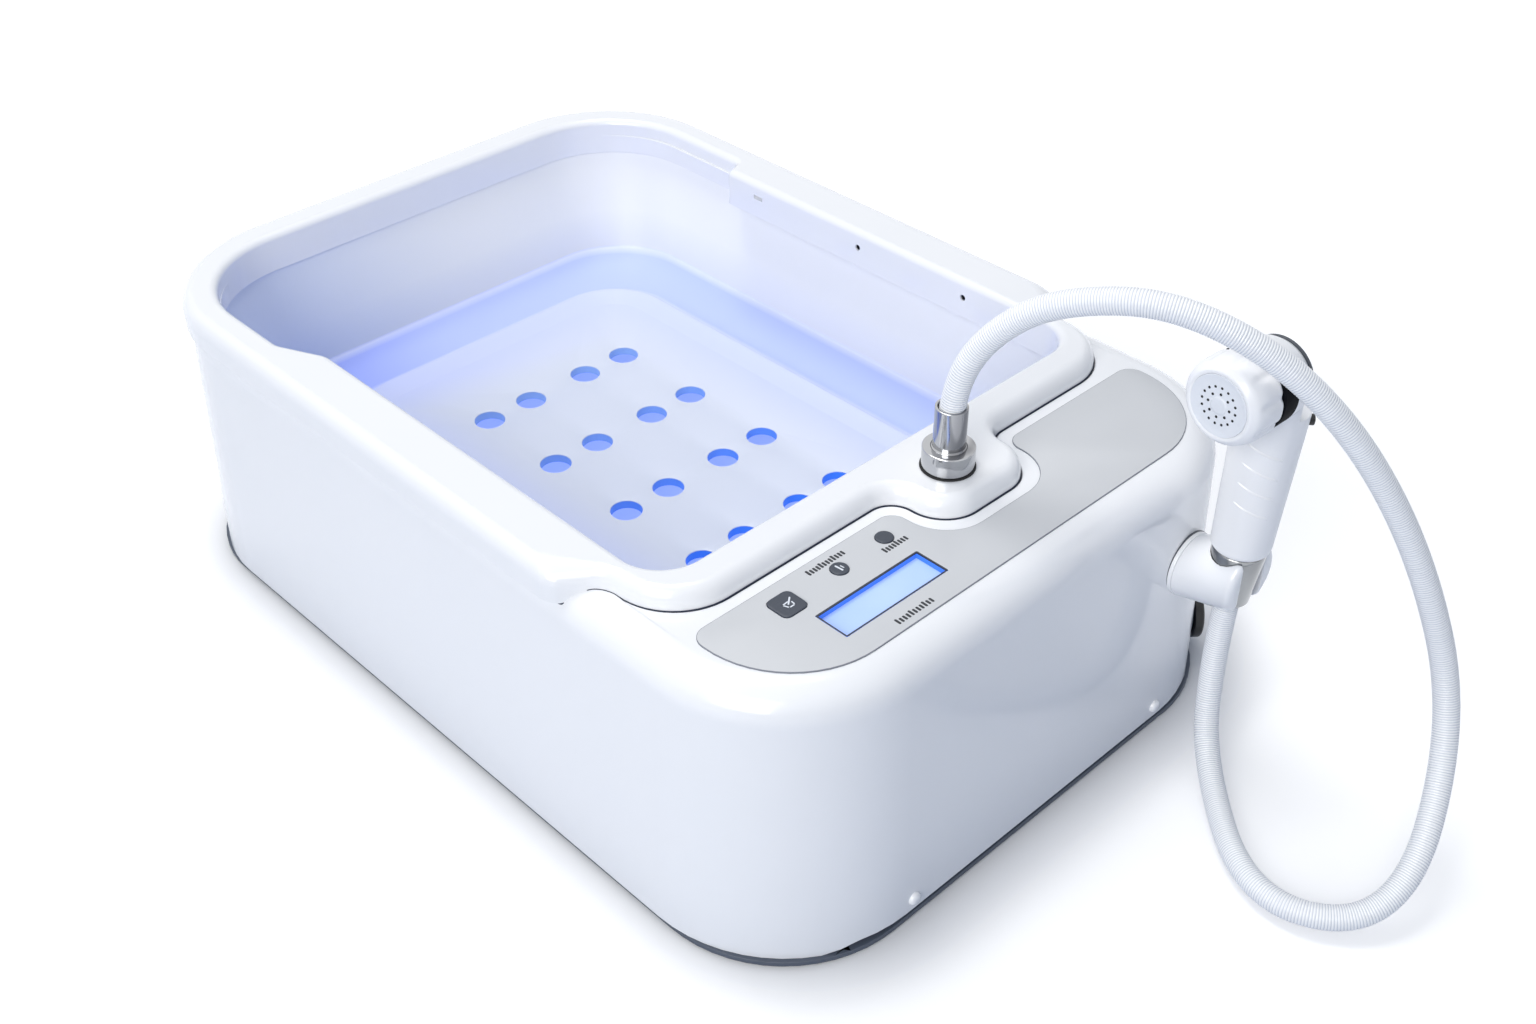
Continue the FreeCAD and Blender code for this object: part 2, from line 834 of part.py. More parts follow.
def make_hose():
    """Ribbed hose with its bore: a ruled loft through four circles for each rib."""
    at, total = hose_frames(hose_stretches())
    steady = V(1, 0.35, 0.2)

    def ring(distance, radius):
        place, direction = at(distance)
        across = steady - direction * steady.dot(direction)
        across.normalize()
        circle = Part.Circle(place, direction, radius)
        circle.XAxis = across
        return Part.Wire(circle.toShape())
    plain = hose_radius * 2
    pitch = (total - 2 * plain) / hose_ribs
    low = hose_radius - hose_rib_depth
    steps = [(0.0, hose_radius)]
    for i in range(hose_ribs):
        foot = plain + i * pitch
        steps.append((foot, low))
        steps.append((foot + pitch * rib_rise, hose_radius))
        steps.append((foot + pitch * rib_crest, hose_radius))
        steps.append((foot + pitch * rib_fall, low))
    steps.append((total, hose_radius))
    bore_steps = [total * i / (2 * hose_ribs) for i in range(2 * hose_ribs + 1)]
    skin = Part.makeLoft([ring(d, r) for d, r in steps], False, True)
    bore = Part.makeLoft([ring(d, hose_bore) for d in bore_steps], False, True)
    ends = [Part.Face([ring(d, hose_radius), ring(d, hose_bore)]) for d in (0.0, total)]
    shell = Part.makeShell(skin.Faces + bore.Faces + ends)
    shell.sewShape()
    hose = Part.makeSolid(shell)
    if hose.Volume < 0:
        hose.reverse()
    return hose


def handset_place():
    """Placement of the handset's own frame in the basin's frame."""
    tilt = FreeCAD.Rotation(V(1, 0, 0), grip_tilt)
    yaw = FreeCAD.Rotation(UP, grip_yaw)
    return FreeCAD.Placement(V(grip_x, grip_y, grip_z), tilt.multiply(yaw))


def spray_axis():
    """Centre of the head and spray direction in the handset's frame."""
    return V(0, 0, head_height), V(-1, 0, 0)


def placed(shape):
    """Shape of the handset's frame moved to its place on the basin."""
    shape.Placement = handset_place()
    return shape


def along_spray(profile):
    """Solid of revolution about the spray axis of an outline of (radius, distance from the head centre)."""
    centre, axis = spray_axis()
    solid = turned(profile)
    solid.Placement = FreeCAD.Placement(centre, FreeCAD.Rotation(UP, axis))
    return solid


def make_cone_nut():
    """Conical nut under the handle, with the tail that the handset turns on."""
    foot = -turn_gap - cone_length
    profile = [
        (spigot_bore, foot), (cone_foot_radius - cone_edge, foot), (cone_foot_radius, foot + cone_edge),
        (cone_top_radius, -turn_gap - cone_land), (cone_top_radius, -turn_gap - cone_edge),
        (cone_top_radius - cone_edge, -turn_gap),
        (tail_radius, -turn_gap), (tail_radius, tail_length), (spigot_bore, tail_length),
    ]
    return placed(turned(profile))


def neck_tip():
    """End of the neck that the collar turns on, along the spray axis."""
    return head_front + band_width + neck_reach


def make_handset():
    """Handle with grip ridges and a sloped back, and the barrel of the head, bored for the nut's tail."""
    r0 = handle_foot_radius
    r1 = handle_top_radius
    centre, axis = spray_axis()
    eased = 0.3 * handle_edge
    handle = turned([(0, 0), (r0 - handle_edge, 0), (r0 - eased, eased), (r0, handle_edge),
                     (r1, handle_length), (r1, head_height), (0, head_height)])
    ring_foot = head_height - head_back_radius - trim_proud
    behind = 2 * r1
    low = ring_foot - (behind - head_back) * shoulder_slope
    shoulder = Part.makePolygon([V(head_back, -r1, ring_foot), V(behind, -r1, low),
                                 V(behind, -r1, head_height), V(head_back, -r1, head_height),
                                 V(head_back, -r1, ring_foot)])
    handle = handle.cut(Part.Face(shoulder).extrude(V(0, 2 * r1, 0)))
    back_edge = [e for e in handle.Edges if e.Length > r1 and low < e.CenterOfMass.z < ring_foot
                 and e.CenterOfMass.x > head_back]
    handle = handle.makeFillet(shoulder_edge, back_edge)
    barrel = along_spray([(0, -head_back), (head_back_radius, -head_back),
                          (head_radius, head_front - barrel_land), (head_radius, head_front),
                          (neck_radius, head_front),
                          (neck_radius, neck_tip()), (0, neck_tip())])
    body = handle.fuse(barrel)
    front = Part.makeBox(2 * r1, 2 * ridge_half, head_height, V(-2.5 * r1, -ridge_half, 0))
    for i in range(ridge_count):
        z = ridge_first + i * ridge_pitch
        radius = r0 + (r1 - r0) * z / handle_length + ridge_proud
        ridge = sleeve(V(0, 0, z - ridge_width / 2), UP, radius, r0 - handle_edge, ridge_width)
        ridge = ridge.common(front)
        ridge.rotate(V(0, 0, z), UP, ridge_bearing)
        body = body.fuse(ridge)
    body = body.removeSplitter()
    socket = rod(V(0, 0, -1), UP, tail_radius + run_clear, tail_length + 1 + run_clear)
    turn = ring_foot - way_drop
    riser = V(-way_shift, 0, turn)
    way = [rod(V(0, 0, 0), UP, spigot_bore, turn),
           rod(V(0, 0, turn - spigot_bore), axis, way_bore, way_shift),
           rod(riser - UP * 2 * spigot_bore, UP, spigot_bore, head_height - turn)]
    button = stop_rod(run_clear, 0, stop_depth + 2 * stop_proud)
    return placed(body.cut([socket, button] + way))


def stop_rod(grow, lift, length):
    """Rod of the stop button's plan, from the foot of its pocket in the handle."""
    bearing = math.radians(stop_bearing)
    out = V(math.cos(bearing), math.sin(bearing), 0)
    start = V(0, 0, stop_height) + out * (handle_top_radius - stop_depth + lift)
    return rod(start, out, stop_radius + grow, length)


def make_stop_button():
    """Small button on the back of the handle."""
    lift = stop_travel + key_slack
    button = stop_rod(0, lift, stop_depth + stop_proud - lift)
    tip = [e for e in button.Edges if e.Closed and e.CenterOfMass.Length > button.CenterOfMass.Length]
    return placed(button.makeFillet(stop_radius / 4, tip))


def make_band():
    """Black band between the head and the collar."""
    start = head_front
    end = start + band_width
    inner = neck_radius
    band = along_spray([(inner, start), (band_radius - band_edge, start), (band_radius, end - band_edge),
                        (band_radius - band_edge, end), (inner, end)])
    return placed_again(band.cut(rod(V(0, 0, 0), UP, handle_top_radius, head_height)))


def placed_again(shape):
    """Shape already set on the spray axis, moved with the handset to its place."""
    shape.Placement = handset_place().multiply(shape.Placement)
    return shape


def collar_span():
    """Start and end of the collar along the spray axis."""
    start = head_front + band_width + turn_gap
    return start, start + collar_length


def make_collar():
    """Fluted collar that turns on the neck, recessed for the spray face."""
    start, end = collar_span()
    r = collar_radius
    bore = neck_radius + run_clear
    neck_end = neck_tip() + turn_gap
    inner = face_radius - collar_land
    collar = along_spray([
        (bore, start), (0.94 * r, start), (r, start + 0.08 * r), (r, end - 0.37 * r),
        (0.96 * r, end - 0.19 * r), (0.89 * r, end - 0.07 * r), (0.79 * r, end), (face_radius, end),
        (face_radius, end - face_recess),
        (inner, end - face_recess), (inner, neck_end), (bore, neck_end),
    ])
    centre, axis = spray_axis()
    side = V(0, 1, 0)
    cuts = []
    for i in range(collar_flutes):
        spin = FreeCAD.Rotation(axis, 360 * i / collar_flutes)
        place = centre + spin.multVec(side) * (r + flute_radius - flute_depth) + axis * (start - 1)
        cuts.append(rod(place, axis, flute_radius, collar_length - flute_margin))
    collar = collar.cut(cuts)
    return placed_again(collar)


def make_spray_face():
    """Spray face with two rings of holes and a raised centre."""
    end = collar_span()[1]
    foot = end - face_recess
    top = foot + face_thick
    face = along_spray([(0, foot), (face_radius, foot), (face_radius, top), (face_boss, top),
                        (face_boss - boss_edge, top + boss_rise), (0, top + boss_rise)])
    centre, axis = spray_axis()
    side = V(0, 1, 0)
    cuts = []
    for count, radius in ((outer_holes, outer_ring), (inner_holes, inner_ring)):
        for i in range(count):
            spin = FreeCAD.Rotation(axis, 360 * i / count)
            start = centre + spin.multVec(side) * radius + axis * (foot - 1)
            cuts.append(rod(start, axis, spray_hole / 2, face_thick + 2))
    return placed_again(face.cut(cuts))


def make_trim_ring():
    """Dark ring between the head and its back cap."""
    r = head_back_radius + trim_proud
    start = -head_back - trim_width
    end = -head_back
    ring = along_spray([(0, start), (r - trim_edge, start), (r, start + trim_edge), (r, end - trim_edge),
                        (r - trim_edge, end), (0, end)])
    return placed_again(ring)


def make_back_cap():
    """Domed cap on the back of the head."""
    r = head_back_radius - 1
    foot = -head_back - trim_width
    profile = [(0, foot), (r, foot)]
    for i in range(1, 5):
        angle = math.radians(22.5 * i)
        profile.append((r * math.cos(angle), foot - cap_rise * math.sin(angle)))
    profile[-1] = (0, foot - cap_rise)
    return placed_again(along_spray(profile))


def make_holder_plate(block):
    """Round plate between the holder and the casing."""
    start = -half_length + 1
    reach = flare_at(holder_z) + plate_thick + 1
    plate = rod(V(grip_x, start, holder_z), V(0, -1, 0), plate_radius, reach)
    return plate.cut(block).cut(holder_screw_rod())


def holder_screw_rod():
    """Shank of the holder's screw, beside the middle so that the plate can't turn."""
    return rod(V(screw_x, grip_y, holder_z), V(0, 1, 0), screw_radius, -grip_y - half_length + holder_radius)


def make_holder():
    """Fork: a round stub with a conical seat and a front slot for the hose."""
    wall = -half_length - flare_at(holder_z) - plate_thick
    front = grip_y - holder_reach
    stub = rod(V(grip_x, front, holder_z), V(0, 1, 0), holder_radius, wall - front)
    nose = [e for e in stub.Edges if max(v.Y for v in e.Vertexes) < front + 1e-6]
    stub = stub.makeFillet(holder_nose, nose)
    low = holder_z - holder_radius
    left = grip_x - holder_radius
    wedge = Part.makePolygon([V(left, wall, low), V(left, front, low), V(left, front, low + holder_rise),
                              V(left, wall, low)])
    stub = stub.cut(Part.Face(wedge).extrude(V(2 * holder_radius, 0, 0)))
    cone_foot = -turn_gap - cone_length
    narrow = cone_foot_radius + cone_clear
    wide = cone_top_radius + cone_clear
    seat = turned([(0, cone_foot - seat_run), (narrow, cone_foot - seat_run), (narrow, cone_foot),
                   (wide, -turn_gap - cone_land), (wide, 0), (0, 0)])
    tall = 4 * holder_radius
    slot = Part.makeBox(holder_slot, tall, 2 * tall, V(-holder_slot / 2, -tall, -tall))
    seat.Placement = handset_place()
    slot.Placement = FreeCAD.Placement(V(grip_x, grip_y, grip_z), FreeCAD.Rotation(V(1, 0, 0), grip_tilt))
    head = rod(V(screw_x, grip_y, holder_z), V(0, 1, 0), screw_head, wall - screw_seat - grip_y)
    return stub.cut([seat, slot, head, holder_screw_rod()])


def make_holder_screw():
    """Screw that holds the fork to the casing."""
    wall = -half_length - flare_at(holder_z) - plate_thick
    seat = V(screw_x, wall - screw_seat, holder_z)
    shank = rod(seat, V(0, 1, 0), screw_radius, screw_seat + plate_thick + casing_wall + screw_past)
    head = rod(seat, V(0, -1, 0), screw_head, screw_head_thick)
    return shank.fuse(head).removeSplitter()


def make_plugs(block):
    """Two domed plugs low on the front face."""
    plugs = []
    wall = -half_length - flare_at(plug_z)
    for side in (-1, 1):
        head = rod(V(side * plug_x, wall + 2, plug_z), V(0, -1, 0), plug_radius, plug_proud + 2)
        nose = [e for e in head.Edges if max(v.Y for v in e.Vertexes) < wall - plug_proud + 1e-6]
        head = head.makeFillet(plug_radius * plug_dome, nose).cut(block)
        root = V(side * plug_x, wall - 1, plug_z)
        stem = rod(root, V(0, 1, 0), plug_radius * plug_stem, casing_wall + plug_grip)
        plugs.append(head.fuse(stem).removeSplitter())
    return Part.makeCompound(plugs)


def make_jets():
    """Nozzle sleeves in the side rails."""
    jets = []
    for side in (-1, 1):
        for y in jet_ys:
            start = V(side * (opening_half + jet_inset), y, jet_z)
            jets.append(sleeve(start, V(side, 0, 0), jet_radius, jet_bore, rim_wall - 1 - jet_inset))
    return Part.makeCompound(jets)


def make_drain_port(block):
    """Drain outlet through the corner of the casing, with a flange saddled on the wall."""
    wall, outward = drain_frame()
    flange = rod(wall - outward * port_root, outward, port_flange, port_root + port_proud).cut(block)
    pipe = rod(wall - outward * port_root, outward, port_radius, port_root + port_proud)
    bore = rod(wall - outward * 2 * port_root, outward, port_radius - port_wall, 4 * port_root)
    return flange.fuse(pipe).removeSplitter().cut(bore)


def make_drain_cap():
    """Dark cap that closes the drain with a quarter turn, with a grip bar and a stem in the port."""
    wall, outward = drain_frame()
    foot = port_proud + turn_gap
    cap = Part.makeCylinder(cap_radius, cap_thick, V(0, 0, foot), UP)
    top_edge = [e for e in cap.Edges if e.Closed and e.CenterOfMass.z > foot + cap_thick / 2]
    cap = cap.makeFillet(cap_edge, top_edge)
    grip = box((cap_grip[1], cap_grip[0], cap_grip[2]), (0, 0), foot + cap_thick)
    stem = rod(V(0, 0, foot), V(0, 0, -1), port_radius - port_wall - run_clear, cap_stem)
    cap = cap.fuse([grip, stem]).removeSplitter()
    upright = FreeCAD.Rotation(UP.cross(outward), UP, outward, "ZYX")
    cap.Placement = FreeCAD.Placement(wall, upright)
    return cap


def make_inlet(block):
    """Mains inlet with a pocket for the rocker switch, on the right side."""
    wall = half_width + flare_at(inlet_z)
    corner = V(wall - inlet_lap, inlet_y - inlet_size[0] / 2, inlet_z - inlet_size[1] / 2)
    flange = Part.makeBox(inlet_flange + inlet_lap, inlet_size[0], inlet_size[1], corner).cut(block)
    body = Part.makeBox(inlet_depth, inlet_body[0], inlet_body[1],
                        V(wall - inlet_depth, inlet_y - inlet_body[0] / 2, inlet_z - inlet_body[1] / 2))
    inlet = flange.fuse(body).removeSplitter()
    size = (rocker_size[0] + 2 * rocker_clear, rocker_size[1] + 2 * rocker_swing)
    pocket = Part.makeBox(2 * rocker_pocket, size[0], size[1],
                          V(wall - rocker_pocket, inlet_y + rocker_y - size[0] / 2, inlet_z - size[1] / 2))
    floor = wall - socket_depth
    middle = inlet_y + socket_y
    socket = Part.makeBox(2 * socket_depth, socket_size[0], socket_size[1],
                          V(floor, middle - socket_size[0] / 2, inlet_z - socket_size[1] / 2))
    pins = []
    for y in (middle - pin_pitch, middle, middle + pin_pitch):
        pins.append(Part.makeBox(*pin_size, V(floor, y - pin_size[1] / 2, inlet_z - pin_size[2] / 2)))
    return inlet.cut([pocket, socket]).fuse(pins).removeSplitter()


def rocker_axis():
    """Point on the rocker's axis, which runs along Y."""
    wall = half_width + flare_at(inlet_z)
    return V(wall - rocker_depth, inlet_y + rocker_y, inlet_z)


def make_rocker():
    """Rocker of the mains switch: a wedge-faced block on the barrel that it tilts about."""
    axis = rocker_axis()
    start = axis - V(0, rocker_size[0] / 2, 0)
    low_reach, low = rocker_low
    high_reach, high = rocker_high
    points = [V(0, 0, -rocker_barrel), V(low_reach, 0, -low), V(rocker_middle, 0, 0), V(high_reach, 0, high),
              V(0, 0, rocker_barrel), V(0, 0, -rocker_barrel)]
    wedge = Part.Face(Part.makePolygon(points)).extrude(V(0, rocker_size[0], 0))
    wedge.translate(start)
    return wedge.fuse(rod(start, V(0, 1, 0), rocker_barrel, rocker_size[0])).removeSplitter()


def make_pump():
    """Pump housing with its inlet and outlet stubs."""
    centre = V(fitting_x, fitting_y, pump_axis_z)
    pump = rod(centre - V(pump_width / 2, 0, 0), V(1, 0, 0), pump_radius, pump_width)
    pump = pump.makeFillet(pump_edge, [e for e in pump.Edges if e.Closed])
    up = rod(centre, UP, stub_radius, pump_radius + stub_length)
    back = rod(centre, V(0, 1, 0), stub_radius, pump_radius + stub_length)
    pump = pump.fuse([up, back]).removeSplitter()
    bore = stub_radius - stub_wall
    return pump.cut([rod(centre, way, bore, 2 * pump_radius) for way in (UP, V(0, 1, 0))])


def make_motor():
    """Pump motor on the pump's axis."""
    start = V(fitting_x + pump_width / 2, fitting_y, pump_axis_z)
    motor = rod(start, V(1, 0, 0), motor_radius, motor_length)
    far_edge = [e for e in motor.Edges if e.Closed and e.Vertexes[0].X > start.x + 1]
    return motor.makeFillet(motor_edge, far_edge)


def make_cradle():
    """Saddles that carry the pump and its motor on the pan."""
    cradles = []
    spans = ((fitting_x - pump_width / 2 + cradle_inset, pump_width - 2 * cradle_inset, pump_radius),
             (fitting_x + pump_width / 2 + motor_saddle_at, motor_saddle, motor_radius))
    for x, length, radius in spans:
        block = Part.makeBox(length, 2 * cradle_half, pump_axis_z - cradle_drop - pan_top,
                             V(x, fitting_y - cradle_half, pan_top))
        cradles.append(block.cut(rod(V(x - 1, fitting_y, pump_axis_z), V(1, 0, 0), radius, length + 2)))
    return Part.makeCompound(cradles)


def make_riser():
    """Hose from the pump's outlet up to the spigot."""
    foot = pump_axis_z + pump_radius + stub_gap
    lower = sleeve(V(fitting_x, fitting_y, foot), UP, stub_radius + pipe_clear + pipe_wall,
                   stub_radius + pipe_clear, stub_length - stub_gap)
    top = rim_seat - spigot_drop + riser_grip
    step = foot + stub_length - stub_gap
    upper = sleeve(V(fitting_x, fitting_y, step), UP, stub_radius + pipe_clear + pipe_wall,
                   spigot_radius + pipe_clear, top - step)
    return lower.fuse(upper).removeSplitter()


def bent_hose(points, bend, bore):
    """Hose along straight runs joined by tangent arcs of one radius."""
    edges = []
    start = points[0]
    for before, here, after in zip(points, points[1:], points[2:]):
        a = here - before
        b = after - here
        half = a.getAngle(b) / 2
        a.normalize()
        b.normalize()
        reach = bend * math.tan(half)
        inward = b - a
        inward.normalize()
        middle = here + inward * (bend / math.cos(half) - bend)
        edges.append(Part.makeLine(start, here - a * reach))
        edges.append(Part.Arc(here - a * reach, middle, here + b * reach).toShape())
        start = here + b * reach
    edges.append(Part.makeLine(start, points[-1]))
    path = Part.Wire(edges)
    shells = []
    for radius in (bore + pipe_wall, bore):
        ring = Part.Wire(Part.Circle(points[0], points[1] - points[0], radius).toShape())
        shells.append(path.makePipeShell([ring], True, False))
    return shells[0].cut(shells[1])


def make_suction():
    """Bent hose from the sump to the pump's inlet."""
    points = [V(fitting_x, suction_y, sump_under), V(fitting_x, suction_y, pump_axis_z),
              V(fitting_x, fitting_y + pump_radius + stub_gap, pump_axis_z)]
    return bent_hose(points, suction_bend, stub_radius + pipe_clear)


def make_drain_hose():
    """Bent hose from the sump to the drain port at the corner."""
    wall, outward = drain_frame()
    stub = wall - outward * (port_root - drain_grip)
    knee = stub - outward * 2 * drain_bend
    under = V(*drain_at, drain_z)
    points = [stub, knee, under - V(0, 2.5 * drain_bend, 0), under, V(*drain_at, sump_under)]
    return bent_hose(points, drain_bend, port_radius + pipe_clear)


def make_heater():
    """Heater plate bonded under the sump."""
    return box(heater_size, (0, heater_y), sump_under - heater_size[2])


def make_thermostat():
    """Thermostat under the heater plate."""
    top = sump_under - heater_size[2]
    return rod(V(0, heater_y, top), V(0, 0, -1), thermostat_radius, thermostat_rise)


def make_strip():
    """Light strip round the inside of the sump, under the tray."""
    def plan(inset):
        return rounded(sump_half - inset, sump_front + inset, sump_back - inset, sump_corner - inset,
                       tray_radius - tray_margin - inset, strip_foot)
    return prism(plan(0), strip_height).cut(prism(plan(strip_thick), strip_height))


os.makedirs("parts", exist_ok=True)
body_block = casing_block(0)
pieces = {
    "outer_casing": make_casing(body_block),
    "rim_cover": make_rim(),
    "tub_liner": make_liner(),
    "foot_tray": make_tray(),
    "base_pan": make_pan(),
    "rubber_feet": make_feet(),
    "control_panel": make_panel(),
    "display_window": make_window(),
    "display_module": make_display(),
    "control_board": make_board(),
    "board_standoffs": make_standoffs(),
    "fitting_gasket": make_gasket(),
    "hose_nut": make_hose_nut(),
    "hose_ferrule": make_ferrule(),
    "hose_spigot": make_spigot(),
    "spigot_backnut": make_backnut(),
    "shower_hose": make_hose(),
    "handset_cone_nut": make_cone_nut(),
    "handset_body": make_handset(),
    "stop_button": make_stop_button(),
    "head_band": make_band(),
    "spray_collar": make_collar(),
    "spray_face": make_spray_face(),
    "head_trim_ring": make_trim_ring(),
    "head_back_cap": make_back_cap(),
    "holder_plate": make_holder_plate(body_block),
    "holder_fork": make_holder(),
    "holder_screw": make_holder_screw(),
    "front_plugs": make_plugs(body_block),
    "side_jets": make_jets(),
    "drain_port": make_drain_port(body_block),
    "drain_cap": make_drain_cap(),
    "power_inlet": make_inlet(body_block),
    "power_rocker": make_rocker(),
    "pump_housing": make_pump(),
    "pump_motor": make_motor(),
    "pump_cradle": make_cradle(),
    "riser_hose": make_riser(),
    "suction_hose": make_suction(),
    "drain_hose": make_drain_hose(),
    "heater_plate": make_heater(),
    "thermostat": make_thermostat(),
    "light_strip": make_strip(),
}
for name, centre, is_round in key_places():
    pieces[name] = make_key(centre, is_round)

for name, shape in pieces.items():
    shape.exportStep("parts/" + name + ".step")
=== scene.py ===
"""Looks of the hydrotherapy basin: gloss white tub, lit foot well, control deck, ribbed hose and hand shower.

Shapes are worked in millimetres and scaled when a piece is finished. X runs across, the control end is at -Y.
"""
import math
import bmesh
import bpy
from mathutils import Matrix, Vector


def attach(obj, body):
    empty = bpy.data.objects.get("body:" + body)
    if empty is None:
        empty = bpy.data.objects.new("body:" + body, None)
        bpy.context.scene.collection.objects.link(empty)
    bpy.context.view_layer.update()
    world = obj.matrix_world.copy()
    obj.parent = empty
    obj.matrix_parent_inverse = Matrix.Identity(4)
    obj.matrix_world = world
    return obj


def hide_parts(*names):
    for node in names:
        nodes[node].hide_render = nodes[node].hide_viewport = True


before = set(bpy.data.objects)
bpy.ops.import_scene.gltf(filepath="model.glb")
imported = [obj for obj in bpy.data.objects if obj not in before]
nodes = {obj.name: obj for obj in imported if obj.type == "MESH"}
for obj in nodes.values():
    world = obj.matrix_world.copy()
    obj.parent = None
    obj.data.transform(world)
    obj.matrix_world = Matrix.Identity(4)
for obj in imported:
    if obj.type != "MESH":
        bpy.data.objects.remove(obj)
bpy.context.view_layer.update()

MM = 0.001
WELD = 0.004
HAIR = 0.001
LEAST_RADIUS = 0.4
FULL_TURN = 2 * math.pi
CORNER_STEPS = 14
PROFILE_STEPS = 5
ROUND_STEPS = 96
STEEP = 0.5
NO_LIGHT = (0.0, 0.0, 0.0, 1.0)
FULL_LIGHT = (1.0, 1.0, 1.0, 1.0)
SEEN_RAYS = ("Is Camera Ray", "Is Glossy Ray", "Is Transmission Ray")

# Casing and deck
half_width = 205.5
half_length = 301.5
corner_radius = 90.0
deck_top = 187.0
casing_foot = 6.5
wall_foot = 4.6
wall_thick = 3.0
wall_return = 16.0
foot_flare = 6.0
shoulder = 20.0
arch_half = 150.0
arch_slope = 12.0
arch_rise = 4.4
hole_half = 185.2
hole_back = 281.0
hole_turn = 70.0
deck_gap = 1.0
deck_lip = 0.5
deck_return = 4.0

# Rim cover; the eases say how far its side steps spread and open towards the top
rim_top = 199.0
rim_seat = 178.0
rim_half = 208.7
rim_back = 304.7
rim_back_turn = 93.2
rim_front = -200.0
rim_turn = 40.0
rim_step_x = 185.0
rim_step_y = -150.0
rim_step_turn = 19.0
step_ease = 6.0
step_turn_ease = 8.0
rim_tail_y = -131.0
rim_tail_turn = 13.0
tail_ease = 14.0
tail_turn_ease = 11.0
rim_edge = 8.0
rim_roll = 11.0
rim_inner_edge = 4.8
rim_flat = 0.2
skirt_wall = 2.5
skirt_foot = 173.0
seal_depth = 4.0
seal_section = ((-0.6, 0.15), (0.45, 0.15), (0.45, -1.0), (-0.6, -1.0))

# Pod for the hose
pod_x = 16.5
pod_half = 39.0
pod_reach = 40.5
pod_turn = 24.0
pod_neck_turn = 16.0

# Opening of the rim; a rail ends in a step with two corners, each (y, radius)
opening_half = 171.5
opening_front = -175.7
opening_turn = 27.0
far_half = 186.5
far_back = 280.0
far_turn = 70.0
right_rail_end = ((138.0, 3.0), (144.0, 6.0))
left_rail_end = ((126.0, 14.0), (158.0, 14.0))

# Jets and slots in the rails
jet_rows = (9.6, -84.2)
jet_z = 186.7
jet_bore = 2.2
jet_depth = 4.0
jet_sink = 0.4
jet_eye = 1.5
jet_ring = 2.1
jet_face = 0.4
jet_floor = 2.8
jet_back = 3.4
jet_steps = 24
slot_size = (8.0, 9.0, 3.2)
slot_y = 107.0
slot_z = 188.0
slot_bevel = 0.6

# Foot well; each plan is half width, front, back, front radius and back radius
flange_plan = (200.0, -195.0, 296.0, 30.0, 84.0)
brim_plan = (190.5, -179.7, 284.0, 27.0, 74.0)
ledge_plan = (175.5, -164.7, 263.0, 27.0, 59.0)
seat_plan = (130.0, -152.0, 216.0, 24.0, 48.5)
sump_plan = (118.0, -140.0, 204.0, 20.0, 41.5)
ledge_z = 100.0
seat_z = 94.0
sump_z = 70.0
ledge_bevel = 1.6

# Foot tray; the dish is (inset, height), a hole's mouth and sleeve are (radius, height)
tray_front = -148.5
tray_back = 212.5
tray_plan = (126.5, tray_front, tray_back, 24.0, 45.0)
tray_top = 100.5
tray_lip = 6.0
tray_edge = 1.4
tray_floor = 97.0
tray_dish = ((2.4, tray_top), (3.2, 100.3), (17.0, 97.1), (18.4, tray_floor))
hole_columns = (-59.1, -23.9, 23.9, 59.1)
hole_rows = 4
hole_pitch = 70.7
hole_first_y = 128.5
hole_rings = ((10.7, tray_floor), (10.35, 96.85), (10.2, 96.4), (10.2, 91.0))
sleeve_top = 96.6
sleeve_steep = 0.3
field_half = 75.0
field_front = -100.0
field_back = 145.0

# Base pan
pan_inset = 1.0
pan_turn = 86.0
pan_foot = 1.0
pan_top = 9.0
pan_lip = 3.0
pan_edge = 0.5
pan_top_edge = 0.3
pan_clear = 0.05
pan_wall = 6.0

# Control panel
panel_top = 187.8
panel_half = 181.0
panel_front = -281.0
panel_front_turn = 60.0
panel_back = -209.0
panel_turn = 10.0
panel_pod_gap = 9.0
panel_pod_front = -249.5
panel_pod_turn = 28.5
panel_sink = 0.2
panel_edge = 0.35
panel_edge_drop = 0.15
panel_hole_depth = 1.0

# Keys on the deck; the eased edge of a cap is (growth, rise from its top)
key_square = (-128.5, -226.0)
key_heat = (-52.0, -222.5)
key_water = (-88.5, -224.5)
key_half = 8.5
key_turn = 4.0
key_round = 5.25
key_gap = 0.25
key_foot = 184.0
key_top = 188.6
key_edge = ((0.0, -0.5), (-0.2, -0.12), (-0.6, 0.0), (-1.4, 0.0))

# Display
lcd_at = (-86.5, -253.5)
lcd_half = (38.0, 11.0)
lcd_turn = 0.8
lcd_gap = 0.3
lcd_gap_turn = 0.6
lcd_pit = 3.0
lcd_foot = 184.0
lcd_base = 184.2
lcd_ledge = 187.2
lcd_line_out = 0.25
lcd_line_in = -0.75
lcd_line_rise = 0.12

